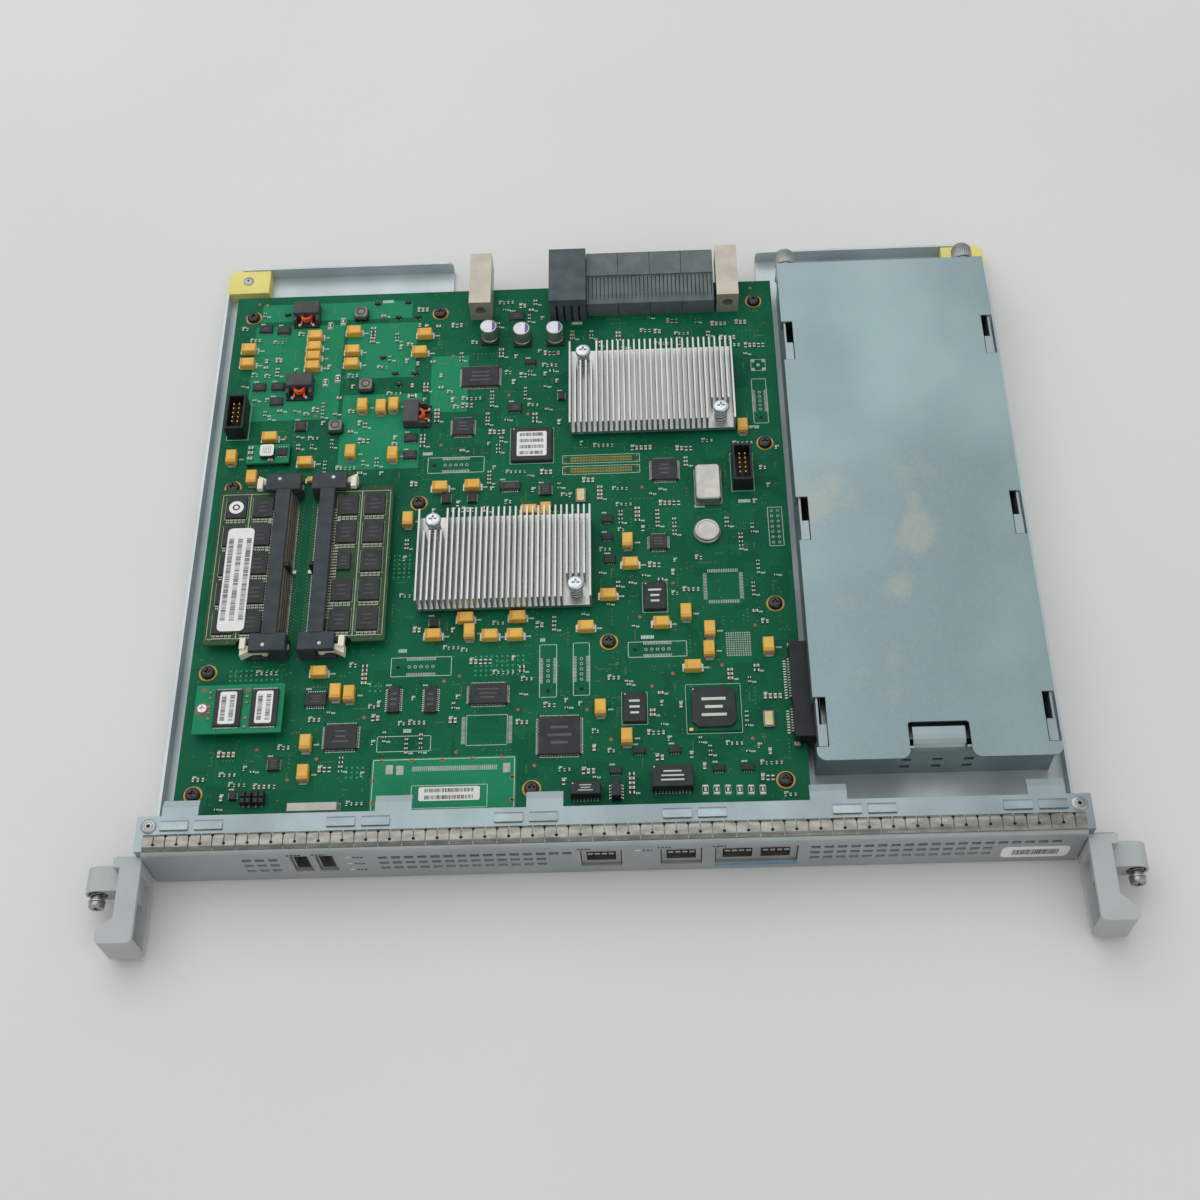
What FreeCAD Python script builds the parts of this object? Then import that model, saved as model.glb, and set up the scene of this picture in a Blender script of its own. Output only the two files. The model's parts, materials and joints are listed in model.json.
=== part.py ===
import FreeCAD, Part
import math
import os
import re
import Sketcher

# Router processor module: a circuit board on a sheet-metal tray behind a perforated front panel.
# X runs to the right along the panel, Y runs back from it and Z runs up from the tray's underside.
# The origin is at the middle of the whole module's box, on its underside.

DOC = FreeCAD.newDocument("router_processor_module")

# Driving sizes in millimetres. Depths (names ending in _back) are counted from the panel line,
# which is the panel's rear face. Heights above the board are counted from its upper face.
SIZES = {
    # Whole module
    "overall_depth": 361.0, "handle_reach": 36.0, "panel_width": 382.6, "fit_gap": 0.3,
    "press_gap": 0.05,
    # Tray
    "tray_width": 380.0, "tray_sheet": 1.2, "tray_lip": 8.0, "bend_inside": 0.8, "lip_corner": 3.0,
    "notch_width": 152.6, "notch_back": 299.0,
    # Front bracket
    "bracket_height": 27.6, "bracket_sheet": 1.2, "flange_back": 15.3, "wing_reach": 200.0,
    "window_width": 366.0, "window_low": 3.6, "window_high": 25.2, "tongue_width": 15.0,
    "tongue_bend_back": 19.0, "tongue_back": 22.4, "tongue_drop": 1.0, "tongue_outer_x": 174.2,
    "tongue_inner_x": 87.5, "tongue_odd_x": -26.3, "lance_width": 11.4, "lance_gap": 2.6,
    "lance_spacing": 67.6, "lance_rise": 0.8, "lance_front_back": 9.0, "lance_rear_back": 13.2,
    "rivet_x": 186.3, "rivet_back": 10.8, "rivet_head_radius": 3.2, "rivet_head": 0.7,
    "rivet_shank_radius": 1.8,
    # Front panel
    "panel_face_width": 376.6, "panel_thickness": 2.0, "panel_low": 0.4, "panel_high": 27.2,
    "panel_roll": 1.8, "vent_width": 3.7, "vent_height": 2.6, "vent_pitch": 5.3, "vent_row_pitch": 5.3,
    "vent_middle_z": 14.8, "vent_side_x": -147.0, "vent_side_count": 3, "vent_left_x": -92.0,
    "vent_left_count": 13, "vent_left_more": 2, "vent_right_x": 81.6, "vent_right_count": 14,
    "vent_right_more": 5,
    # Gasket
    "gasket_length": 376.0, "gasket_back": 7.2, "gasket_rise": 1.1, "gasket_strip": 0.3,
    "gasket_ramp": 1.6,
    # Handles and captive screws
    "handle_inner": 188.9, "handle_low": 3.5, "handle_height": 19.0, "handle_tip": 203.8,
    "handle_waist": 197.6, "handle_base": 200.4, "handle_base_depth": 4.3, "flare_start": 25.0,
    "flare_end": 31.0, "recess_wall": 2.2, "recess_deep": 6.2, "recess_shallow": 3.0,
    "recess_split": 15.0, "ear_axis_x": 208.4, "ear_axis_z": 11.5, "ear_radius": 5.0, "ear_front": 11.8,
    "ear_rear": 1.0, "screw_bore_radius": 2.3, "spring_bore_radius": 3.8, "spring_bore_depth": 6.8,
    "screw_radius": 2.0, "screw_head_radius": 3.2, "screw_head": 2.6, "screw_tip": 17.6,
    "screw_recess": 1.3, "cross_half": 1.7, "cross_arm": 0.4, "washer_radius": 3.4,
    "washer_thickness": 0.8, "screw_wire": 0.5, "screw_coil_radius": 2.75, "screw_coils": 3,
    # Corner guides
    "guide_long": 21.0, "guide_deep": 16.0, "guide_height": 6.3, "guide_wing": 6.8,
    "guide_chamfer": 4.0, "guide_rivet_x": 180.0, "guide_rivet_back": 317.0, "guide_rivet_radius": 1.3,
    "guide_rivet_head": 0.8,
    # Board
    "board_left": -182.9, "board_right": 82.3, "board_front_back": 4.0, "board_rear_back": 303.0,
    "board_thickness": 2.4, "standoff_height": 6.9, "standoff_radius": 3.2, "standoff_bore": 1.65,
    "standoff_bore_depth": 5.0, "board_screw_radius": 1.5, "board_screw_length": 6.6,
    "board_hole_radius": 1.9, "board_head_radius": 3.2, "board_head": 1.9,
    # Ports
    "jack_width": 16.0, "jack_height": 16.2, "jack_low": 6.0, "jack_depth": 16.0,
    "jack_mouth_width": 11.8, "jack_mouth_height": 9.0, "jack_mouth_depth": 12.0,
    "jack_pair_width": 32.6, "jack_pair_step": 15.2, "jack_first_x": -4.2, "jack_second_x": 28.0,
    "jack_pair_x": 58.2, "usb_width": 7.0, "usb_height": 15.2, "usb_low": 8.0, "usb_depth": 15.0,
    "usb_mouth_width": 5.4, "usb_mouth_height": 12.6, "usb_mouth_depth": 10.0, "usb_tongue": 1.6,
    "usb_tongue_setback": 5.0, "usb_first_x": -125.2, "usb_second_x": -115.0, "port_tab": 1.4,
    "port_tab_height": 1.2, "light_width": 2.2, "light_height": 1.2, "light_column_x": -106.0,
    "light_pitch": 6.4, "light_single_x": 10.7, "light_length": 3.0,
    # Guide blocks and rear connectors
    "block_x": 60.3, "block_width": 10.6, "block_height": 13.0, "block_front_back": 284.0,
    "block_rear_back": 315.6, "block_bore_radius": 3.3, "block_bore_depth": 24.0, "block_bore_z": 6.6,
    "block_hole_radius": 2.6, "power_left": -26.5, "power_width": 18.0, "power_height": 16.0,
    "power_front_back": 281.0, "power_slot": 1.0, "power_slot_depth": 2.4, "power_slot_high": 11.5,
    "power_slots": 4, "rear_face_back": 314.0, "signal_left": -8.3, "signal_width": 15.5,
    "signal_count": 4, "signal_height": 12.0, "signal_front_back": 284.0, "signal_step_back": 299.5,
    "signal_slope_back": 288.0, "signal_step": 1.0, "wafer_pitch": 1.9375, "wafer_slot": 0.4,
    "wafer_count": 32, "wafer_depth": 1.2,
    # Heat sinks
    "sink_width": 77.6, "sink_depth": 48.2, "sink_top": 12.0, "sink_base": 2.0, "fin_count": 31,
    "fin_thickness": 0.9, "sink_upper_x": 21.9, "sink_upper_back": 234.8, "sink_lower_x": -45.9,
    "sink_lower_back": 140.8, "processor_side": 37.5, "processor_height": 2.2, "sink_screw_x": 32.0,
    "sink_screw_back": 17.8, "sink_pocket": 10.6, "sink_hole_radius": 1.9, "sink_screw_radius": 1.5,
    "sink_head_radius": 3.6, "sink_head": 2.2, "sink_head_top": 13.2, "sink_wire": 0.55,
    "sink_coil_radius": 2.6, "sink_coils": 2.5,
    # Memory
    "socket_middle_x": -137.6, "socket_middle_back": 141.9, "socket_half_length": 46.6,
    "socket_block_deep": 8.8, "socket_block_inner": 2.6, "socket_block_outer": 18.6,
    "socket_bar_inner": 6.8, "socket_bar_outer": 13.6, "socket_step_inner": 1.6,
    "socket_step_height": 5.4, "socket_height": 9.6, "socket_roof": 2.4, "socket_sole": 1.8,
    "module_length": 82.0, "module_width": 30.0, "module_thickness": 1.2, "module_low": 4.3,
    "module_outer": 40.0, "module_notch": 2.0, "module_notch_x": 23.5, "chip_width": 9.4,
    "chip_depth": 11.0, "chip_height": 1.1, "chip_column_inner": 19.5, "chip_column_outer": 31.8,
    "chip_row_pitch": 15.2, "register_width": 6.0, "register_depth": 9.0, "pivot_x": 12.4,
    "pivot_inset": 2.9, "pivot_radius": 0.9, "pivot_boss": 2.1, "latch_arm": 2.2, "latch_tip_x": 22.9,
    "latch_low": 2.2, "latch_height": 4.6, "finger_width": 2.6, "finger_reach": 4.4, "finger_low": 5.8,
    "finger_height": 2.6, "thumb_reach": 2.6, "pivot_gap": 0.05,
    # Flash module
    "flash_left": -177.4, "flash_width": 38.2, "flash_front_back": 57.8, "flash_depth": 23.2,
    "flash_low": 4.2, "flash_thickness": 1.2, "flash_chip_width": 11.6, "flash_chip_depth": 17.4,
    "flash_plug": 5.0, "flash_plug_long": 16.0, "flash_screw_inset": 3.6, "flash_post_radius": 2.4,
    "flash_head_radius": 2.3, "flash_head": 1.4, "flash_screw_radius": 1.2,
    # Packages on the board
    "flat_pack_height": 1.6, "grid_pack_height": 1.9, "small_pack_height": 1.5, "tantalum_height": 3.8,
    "tantalum_long": 7.6, "tantalum_short": 4.7, "can_radius": 4.1, "can_height": 9.6, "can_base": 8.6,
    "can_base_height": 1.2, "coil_block": 12.8, "coil_block_height": 5.8, "coil_drum_radius": 3.9,
    "coil_drum_height": 3.8, "converter_width": 20.0, "converter_depth": 10.6, "converter_x": -158.5,
    "converter_back": 204.6, "converter_low": 2.0, "converter_thickness": 1.2, "converter_foot": 2.0,
    "converter_coil": 6.6, "converter_coil_height": 3.0, "header_width": 9.0, "header_depth": 20.0,
    "header_height": 8.8, "header_wall": 1.1, "header_floor": 2.0, "header_pin": 0.64,
    "header_pitch": 2.54, "display_width": 21.0, "display_depth": 4.0, "display_height": 3.4,
    "oscillator_width": 12.7, "oscillator_depth": 20.6, "oscillator_height": 5.2, "crystal_width": 4.6,
    "crystal_depth": 7.6, "crystal_height": 1.8, "backup_radius": 6.2, "backup_height": 3.4,
    "transformer_height": 5.6,
    # Drive bay
    "box_left": 85.6, "box_width": 97.4, "box_front_back": 38.0, "box_rear_back": 299.0,
    "box_sheet": 1.0, "box_top": 25.4, "box_roll": 6.0, "box_shelf_deep": 9.6, "box_shelf_width": 21.6,
    "box_vent": 4.0, "box_vent_height": 2.4, "box_vent_pitch": 12.9, "box_vent_x": 135.0,
    "box_vent_z": 7.6, "box_vent_row_pitch": 6.4, "box_side_window_back": 46.0,
    "box_side_window_long": 50.0, "box_side_window_low": 9.6, "box_side_window_high": 19.0,
    "cover_overhang": 1.1, "cover_front_back": 33.0, "cover_sheet": 1.0, "cover_skirt": 6.0,
    "cover_rear_skirt": 12.0, "cover_corner": 4.0, "cover_notch_deep": 16.4, "cover_notch_width": 25.0,
    "hook_front_back": 39.2, "hook_middle_back": 139.6, "hook_rear_back": 240.4, "hook_long": 22.8,
    "hook_wide": 5.2, "hook_tab": 10.4, "knob_left_x": 89.4, "knob_right_x": 175.8, "knob_z": 20.6,
    "knob_radius": 4.9, "knob_length": 11.2, "knob_collar": 2.4, "knob_collar_radius": 3.9,
    "knob_dome": 1.2, "knurl_depth": 0.35, "knob_shank_radius": 1.9, "knob_shank": 5.0,
    "knob_hole_gap": 0.08, "drive_long": 78.5, "drive_wide": 54.0, "drive_thick": 8.0,
    "drive_left": 88.0, "drive_front_back": 45.0, "drive_low": 10.4, "drive_post_radius": 2.5,
    "drive_post_inset": 6.0, "drive_plug_left": 77.2, "drive_plug_deep": 10.2,
    "drive_plug_front_back": 48.6, "drive_plug_long": 45.4, "drive_plug_height": 7.0,
    "drive_tongue": 1.2, "drive_mouth": 4.2,
}

SHEET = DOC.addObject("Spreadsheet::Sheet", "Sizes")
for row, (alias, number) in enumerate(SIZES.items(), start=1):
    SHEET.set(f"A{row}", alias)
    SHEET.set(f"B{row}", str(number))
    SHEET.setAlias(f"B{row}", alias)
DOC.recompute()

# Places that many pieces share, as expressions on the sizes
LINE = "(handle_reach - overall_depth / 2)"
REAR = "(overall_depth / 2)"
BOARD_LOW = "(tray_sheet + standoff_height)"
BOARD = "(tray_sheet + standoff_height + board_thickness)"
FLANGE = "bracket_height"

NODES = []


def bound(text):
    """Return an expression in which each size's name points at its cell in the sheet."""
    return re.sub(r"[a-z][a-z_]+", lambda word: "Sizes." + word.group(0), str(text))


def behind(depth):
    """Return the Y expression of a depth counted from the panel line."""
    return f"{LINE} + {depth}"


def place(item, corner):
    """Bind an object's position to three expressions."""
    for axis, text in zip("xyz", corner):
        item.setExpression(f"Placement.Base.{axis}", bound(text))


def node(item, label):
    """Name a finished sub-part, so that it is checked and written."""
    item.Label = label
    NODES.append((label, item))
    return item


def box(corner, size):
    """Return a block from its lowest corner and its three sizes."""
    item = DOC.addObject("Part::Box", "block")
    for prop, text in zip(("Length", "Width", "Height"), size):
        item.setExpression(prop, bound(text))
    place(item, corner)
    return item


def centred_box(x, y, z, size):
    """Return a block that stands on z with its middle at x and y."""
    return box((f"{x} - ({size[0]}) / 2", f"{y} - ({size[1]}) / 2", z), size)


def prism(base, radius, height, sides=6):
    """Return an upright bar with flat sides."""
    item = DOC.addObject("Part::Prism", "prism")
    item.Polygon = sides
    item.setExpression("Circumradius", bound(radius))
    item.setExpression("Height", bound(height))
    place(item, base)
    return item


def fuse(items):
    """Return one solid from blocks that meet or overlap."""
    item = DOC.addObject("Part::MultiFuse", "union")
    item.Shapes = items
    item.Refine = True
    return item


def cut(base, tools):
    """Return a solid with the tools taken out of it."""
    item = DOC.addObject("Part::Cut", "cut")
    item.Base = base
    item.Tool = tools[0] if len(tools) == 1 else group(tools)
    return item


def group(items):
    """Return separate solids as one compound."""
    item = DOC.addObject("Part::Compound", "set")
    item.Links = items
    return item


def mirror(source, middle="0"):
    """Return the left-right mirror image of a piece about an upright plane."""
    item = DOC.addObject("Part::Mirroring", "mirror")
    item.Source = source
    item.Normal = (1, 0, 0)
    item.setExpression("Base.x", bound(middle))
    return item


def front_mirror(source, middle):
    """Return the front-back mirror image of a piece about an upright plane."""
    item = mirror(source)
    item.Normal = (0, 1, 0)
    item.setExpression("Base.y", bound(middle))
    return item


def rectangle(low_x, low_y, high_x, high_y):
    """Return the four corners of a rectangle."""
    return [(low_x, low_y), (high_x, low_y), (high_x, high_y), (low_x, high_y)]


def ring(middle_x, middle_y, radius, sides):
    """Return the corners of a regular outline with flat sides."""
    points = []
    for index in range(sides):
        angle = 2 * math.pi * index / sides
        points.append((f"{middle_x} + ({math.cos(angle):.6f}) * ({radius})",
                       f"{middle_y} + ({math.sin(angle):.6f}) * ({radius})"))
    return points


def hole(middle_x, middle_y, radius, sides=8):
    """Return an outline with flat sides that a round bar of the radius just passes through."""
    return ring(middle_x, middle_y, f"{1 / math.cos(math.pi / sides):.6f} * ({radius})", sides)


def cross(middle_x, middle_y, half, arm):
    """Return the outline of a cross recess."""
    inner = [(half, arm), (arm, arm), (arm, half)]
    turns = [(1, 1), (-1, 1), (-1, -1), (1, -1)]
    points = []
    for index, (sx, sy) in enumerate(turns):
        quarter = inner if index % 2 == 0 else inner[::-1]
        points += [(f"{middle_x} + {sx} * {a}", f"{middle_y} + {sy} * {b}") for a, b in quarter]
    return points


class Piece:
    """A body made of sketches with straight runs and circles, pads, pockets, turnings and patterns."""

    def __init__(self):
        self.body = DOC.addObject("PartDesign::Body", "body")

    def datum(self, role):
        """Return one of the body's own planes or axes."""
        return next(item for item in self.body.Origin.OriginFeatures if item.Role == role)

    def sketch(self, plane, loops, offset=("0", "0", "0")):
        """Draw closed loops of corners, or circles given as (x, y, radius), on a plane."""
        item = self.body.newObject("Sketcher::SketchObject", "sketch")
        item.AttachmentSupport = (self.datum(plane), "")
        item.MapMode = "FlatFace"
        for axis, text in zip("xyz", offset):
            item.setExpression(f"AttachmentOffset.Base.{axis}", bound(text))
        for loop in loops:
            if isinstance(loop, tuple):
                self.draw_circle(item, loop)
            else:
                self.draw_corners(item, loop)
        return item

    def draw_corners(self, item, corners):
        """Add straight lines whose corners are bound to their expressions."""
        first = item.GeometryCount
        count = len(corners)
        spread = [FreeCAD.Vector(index, index * index, 0) for index in range(count + 1)]
        lines = [Part.LineSegment(spread[index], spread[index + 1]) for index in range(count)]
        item.addGeometry(lines)
        item.addConstraint([Sketcher.Constraint("Coincident", first + index, 2,
                                                first + (index + 1) % count, 1) for index in range(count)])
        self.pin(item, [(first + index, 1) for index in range(count)], corners)

    def draw_circle(self, item, circle):
        """Add a circle whose middle and radius are bound to their expressions."""
        x, y, radius = circle
        index = item.addGeometry(Part.Circle(FreeCAD.Vector(), FreeCAD.Vector(0, 0, 1), 1))
        self.pin(item, [(index, 3)], [(x, y)])
        rule = item.addConstraint(Sketcher.Constraint("Radius", index, 1))
        item.setExpression(f"Constraints[{rule}]", bound(radius))

    def pin(self, item, points, corners):
        """Bind points of a sketch to their distances from the sketch's origin."""
        first = item.ConstraintCount
        item.addConstraint([Sketcher.Constraint(kind, -1, 1, index, point, 1.0)
                            for index, point in points for kind in ("DistanceX", "DistanceY")])
        for rule, text in enumerate((text for corner in corners for text in corner), start=first):
            item.setExpression(f"Constraints[{rule}]", bound(text))

    def pad(self, plane, loops, length, offset=("0", "0", "0"), both=False, reverse=False):
        """Grow a solid from loops; both grows it half to each side."""
        item = self.body.newObject("PartDesign::Pad", "pad")
        item.Profile = self.sketch(plane, loops, offset)
        item.setExpression("Length", bound(length))
        item.SideType = "Symmetric" if both else "One side"
        item.Reversed = reverse
        self.body.Tip = item
        DOC.recompute()
        return item

    def pocket(self, plane, loops, depth=None, offset=("0", "0", "0"), reverse=False):
        """Cut loops out of the solid, right through it when no depth is given."""
        before = self.body.Shape.Volume
        item = self.body.newObject("PartDesign::Pocket", "pocket")
        item.Profile = self.sketch(plane, loops, offset)
        item.Reversed = reverse
        if depth is None:
            item.Type = "ThroughAll"
            item.SideType = "Symmetric"
        else:
            item.setExpression("Length", bound(depth))
        self.body.Tip = item
        DOC.recompute()
        if self.body.Shape.Volume >= before:
            raise RuntimeError("a pocket cut nothing")
        return item

    def repeat(self, feature, pitch, count):
        """Repeat a feature to the right, so many times at a pitch."""
        item = self.body.newObject("PartDesign::LinearPattern", "pattern")
        item.Originals = [feature]
        item.Direction = (self.datum("X_Axis"), [""])
        item.Mode = "Spacing"
        item.setExpression("Offset", bound(pitch))
        item.setExpression("Occurrences", bound(count))
        self.body.Tip = item
        DOC.recompute()
        return item

    def soften(self, radius, wanted):
        """Round the edges for which wanted(middle, direction) is true."""
        tip = self.body.Tip
        names = []
        for index, edge in enumerate(self.body.Shape.Edges, start=1):
            if edge.Curve.TypeId == "Part::GeomLine" and wanted(edge.CenterOfMass, edge.Curve.Direction):
                names.append(f"Edge{index}")
        item = self.body.newObject("PartDesign::Fillet", "rounding")
        item.Base = (tip, names)
        item.setExpression("Radius", bound(radius))
        self.body.Tip = item
        DOC.recompute()
        return item


def coil(x, y, z, upright, radius, wire, length, turns):
    """Wind a square-wire spring from (x, y, z), upright or along Y, in straight runs, six to a turn."""
    half = wire / 2
    runs = round(6 * turns)
    nodes = []
    for index in range(runs + 1):
        angle = 2 * math.pi * index / 6
        along = 0.65 * wire + (length - 1.3 * wire) * index / runs
        across, side = radius * math.cos(angle), radius * math.sin(angle)
        turned = (across, -side, along) if upright else (across, along, side)
        nodes.append(FreeCAD.Vector(*turned))
    path = DOC.addObject("Part::Polygon", "path")
    path.Nodes = nodes
    section = DOC.addObject("Part::RegularPolygon", "section")
    section.Polygon = 4
    section.Circumradius = half * math.sqrt(2)
    facing = nodes[1] - nodes[0]
    turn = FreeCAD.Rotation(FreeCAD.Vector(0, 0, 1), facing)
    section.Placement = FreeCAD.Placement(nodes[0], turn)
    item = DOC.addObject("Part::Sweep", "coil")
    item.Sections = [section]
    item.Spine = (path, [f"Edge{index + 1}" for index in range(runs)])
    item.Solid = True
    item.Frenet = False
    item.Transition = "Right corner"
    place(item, (x, y, z))
    return item


def size(alias):
    """Return a driving size as a number."""
    return float(SHEET.get(alias))


def panel_line():
    """Return the panel line's Y as a number."""
    return size("handle_reach") - size("overall_depth") / 2


def near(value, target):
    """Tell whether two lengths agree to a hundredth of a millimetre."""
    return abs(value - target) < 0.01


BOARD_SCREWS = (
    (-174, 290), (-81, 289), (73.4, 290), (-174, 187.6), (-86.6, 176), (74, 204),
    (-175, 90), (0, 100), (73.4, 117), (-175, 32), (-33, 31), (-90.4, 32),
)
JACKS = (
    ("jack_first_x", "jack_width"), ("jack_second_x", "jack_width"), ("jack_pair_x", "jack_pair_width"),
)
USB_PORTS = ("usb_first_x", "usb_second_x")
LIGHTS = [("light_column_x", f"vent_middle_z + {step} * light_pitch") for step in (-1, 0, 1)]
LIGHTS.append(("light_single_x", "vent_middle_z + light_pitch"))
HOOKS = ("hook_front_back", "hook_middle_back", "hook_rear_back")


def build_tray():
    """Fold the tray: a floor with low lips, notched at the back for the rear connectors."""
    piece = Piece()
    half = "tray_width / 2"
    inner = f"{half} - tray_sheet"
    profile = [(f"-{half}", "0"), (half, "0"), (half, "tray_lip"), (inner, "tray_lip"),
               (inner, "tray_sheet"), (f"-({inner})", "tray_sheet"), (f"-({inner})", "tray_lip"),
               (f"-{half}", "tray_lip")]
    piece.pad("XZ_Plane", [profile], "overall_depth - handle_reach - bracket_sheet", ("0", "0", f"-{REAR}"))
    piece.pad("XY_Plane", [rectangle(f"-{half}", f"{REAR} - tray_sheet", half, REAR)], "tray_lip")
    corners = []
    for side in ("-1", "1"):
        near_x, far_x = f"{side} * ({half} - guide_wing - fit_gap)", f"{side} * ({half} + 1)"
        corners.append(rectangle(near_x, f"{REAR} - guide_deep - fit_gap", far_x, f"{REAR} + 1"))
    piece.pocket("XY_Plane", corners, "tray_lip", ("0", "0", "tray_sheet"), reverse=True)
    notch = rectangle("-notch_width / 2", behind("notch_back"), "notch_width / 2", f"{REAR} + 1")
    piece.pocket("XY_Plane", [notch])
    rear, high, wide = size("overall_depth") / 2, size("tray_lip"), size("notch_width") / 2
    piece.soften("lip_corner", lambda at, way: abs(way.y) > 0.9 and near(abs(at.x), wide)
                 and near(at.z, high) and near(at.y, rear - size("tray_sheet") / 2))
    holes = [hole(f"{side} * guide_rivet_x", behind("guide_rivet_back"), "guide_rivet_radius + press_gap")
             for side in ("-1", "1")]
    piece.pocket("XY_Plane", holes)
    side = size("tray_width") / 2
    piece.soften("bend_inside + tray_sheet", lambda at, way: abs(way.y) > 0.9 and near(abs(at.x), side)
                 and near(at.z, 0) and at.y < rear - 30)
    node(piece.body, "base_tray")


def build_bracket():
    """Fold the front bracket: a framed web, a top flange with tongues and lances, and two end plates."""
    piece = Piece()
    edge, wing = "panel_width / 2", "wing_reach"
    low, high = "handle_low + panel_thickness", "handle_low + handle_height - panel_thickness"
    half_web = [(edge, "0"), (edge, low), (wing, low), (wing, high), (edge, high), (edge, FLANGE)]
    web = half_web + [(f"-{x}", z) for x, z in half_web[::-1]]
    window = rectangle("-window_width / 2", "window_low", "window_width / 2", "window_high")
    piece.pad("XZ_Plane", [web, window], "bracket_sheet", ("0", "0", f"-({behind('bracket_sheet')})"))
    flange = rectangle(f"-{edge}", LINE, edge, behind("flange_back"))
    piece.pad("XY_Plane", [flange], "bracket_sheet", ("0", "0", f"{FLANGE} - bracket_sheet"))
    ends = [rectangle(f"{side} * tray_width / 2", LINE, f"{side} * {edge}", behind("flange_back"))
            for side in ("-1", "1")]
    piece.pad("XY_Plane", ends, FLANGE)
    under = f"{FLANGE} - bracket_sheet"
    root, bend, tip = behind("flange_back - bracket_sheet"), behind("tongue_bend_back"), behind("tongue_back")
    tongue = [(root, FLANGE), (bend, FLANGE), (tip, f"{FLANGE} - tongue_drop"),
              (tip, f"{under} - tongue_drop"), (bend, under), (root, under)]
    for x in ("-tongue_outer_x", "-tongue_inner_x", "tongue_odd_x", "tongue_inner_x", "tongue_outer_x"):
        piece.pad("YZ_Plane", [tongue], "tongue_width", ("0", "0", x), both=True)
    lance = [(behind("lance_front_back"), FLANGE), (behind("lance_rear_back"), FLANGE),
             (behind("lance_front_back"), f"{FLANGE} + lance_rise")]
    for way in "-+":
        first = f"-5 * lance_spacing / 2 {way} (lance_gap + lance_width) / 2"
        raised = piece.pad("YZ_Plane", [lance], "lance_width", ("0", "0", first), both=True)
        piece.repeat(raised, "lance_spacing", "6")
    holes = [hole(f"{side} * rivet_x", behind("rivet_back"), "rivet_shank_radius + press_gap")
             for side in ("-1", "1")]
    piece.pocket("XY_Plane", holes, "4 * bracket_sheet", ("0", "0", f"{FLANGE} + bracket_sheet"))
    node(piece.body, "front_bracket")


def build_panel():
    """Cut the front panel: a plate with a rolled top edge, vent grids, port windows and light holes."""
    piece = Piece()
    half = "panel_face_width / 2"
    face = ("0", "0", f"-({LINE} - panel_thickness)")
    plate = rectangle(f"-{half}", "panel_low", half, "panel_high")
    piece.pad("XZ_Plane", [plate], "panel_thickness", ("0", "0", f"-{LINE}"))
    front, top = panel_line() - size("panel_thickness"), size("panel_high")
    piece.soften("panel_roll", lambda at, way: abs(way.x) > 0.9 and near(at.y, front)
                 and near(at.z, top))
    windows = []
    for x, width in JACKS:
        reach = f"({width} / 2 + fit_gap)"
        windows.append(rectangle(f"{x} - {reach}", "jack_low - fit_gap", f"{x} + {reach}",
                                 "jack_low + jack_height + fit_gap"))
    for x in USB_PORTS:
        reach = "(usb_width / 2 + fit_gap)"
        windows.append(rectangle(f"{x} - {reach}", "usb_low - fit_gap", f"{x} + {reach}",
                                 "usb_low + usb_height + fit_gap"))
    for x, z in LIGHTS:
        windows.append(rectangle(f"{x} - light_width / 2", f"{z} - light_height / 2 - press_gap",
                                 f"{x} + light_width / 2", f"{z} + light_height / 2 + press_gap"))
    piece.pocket("XZ_Plane", windows, "2 * panel_thickness", face)
    grids = [("vent_side_x", "vent_side_count", (-1, 0, 1)),
             ("vent_left_x", "vent_left_count", (-1, 0, 1)),
             ("vent_right_x", "vent_right_count", (-1, 0, 1)),
             ("vent_left_x + vent_left_count * vent_pitch", "vent_left_more", (1,)),
             ("vent_right_x + vent_right_count * vent_pitch", "vent_right_more", (1,))]
    for x, columns, rows in grids:
        levels = [f"vent_middle_z + {row} * vent_row_pitch" for row in rows]
        slots = [rectangle(f"{x} - vent_width / 2", f"{z} - vent_height / 2",
                           f"{x} + vent_width / 2", f"{z} + vent_height / 2") for z in levels]
        vent = piece.pocket("XZ_Plane", slots, "2 * panel_thickness", face)
        piece.repeat(vent, "vent_pitch", columns)
    node(piece.body, "front_panel")


def build_gasket():
    """Arch the gasket strip along the flange's front edge."""
    piece = Piece()
    top, foot = f"{FLANGE} + gasket_rise", "2 * gasket_strip"
    outer = [("0", FLANGE), ("gasket_ramp", top), ("gasket_back - gasket_ramp", top),
             ("gasket_back", FLANGE)]
    under, slope = f"{top} - gasket_strip", "gasket_ramp + gasket_strip / 2"
    inner = [(f"gasket_back - {foot}", FLANGE), (f"gasket_back - ({slope})", under), (slope, under),
             (foot, FLANGE)]
    strip = [(behind(depth), z) for depth, z in outer + inner]
    piece.pad("YZ_Plane", [strip], "gasket_length", both=True)
    node(piece.body, "emi_gasket")


def build_rivets():
    """Set the panel rivets and the small rivets that hold the corner guides."""
    rivets = []
    for side in ("-1", "1"):
        at = (f"{side} * rivet_x", behind("rivet_back"))
        head = prism((*at, FLANGE), "rivet_head_radius", "rivet_head", 12)
        shank = prism((*at, f"{FLANGE} - 2 * bracket_sheet"), "rivet_shank_radius",
                      "2 * bracket_sheet", 8)
        rivets.append(fuse([head, shank]))
        at = (f"{side} * guide_rivet_x", behind("guide_rivet_back"))
        top = "tray_sheet + guide_height"
        head = prism((*at, top), "2 * guide_rivet_radius", "guide_rivet_head", 12)
        shank = prism((*at, "0"), "guide_rivet_radius", top, 8)
        rivets.append(fuse([head, shank]))
    node(group(rivets), "rivets")


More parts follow.
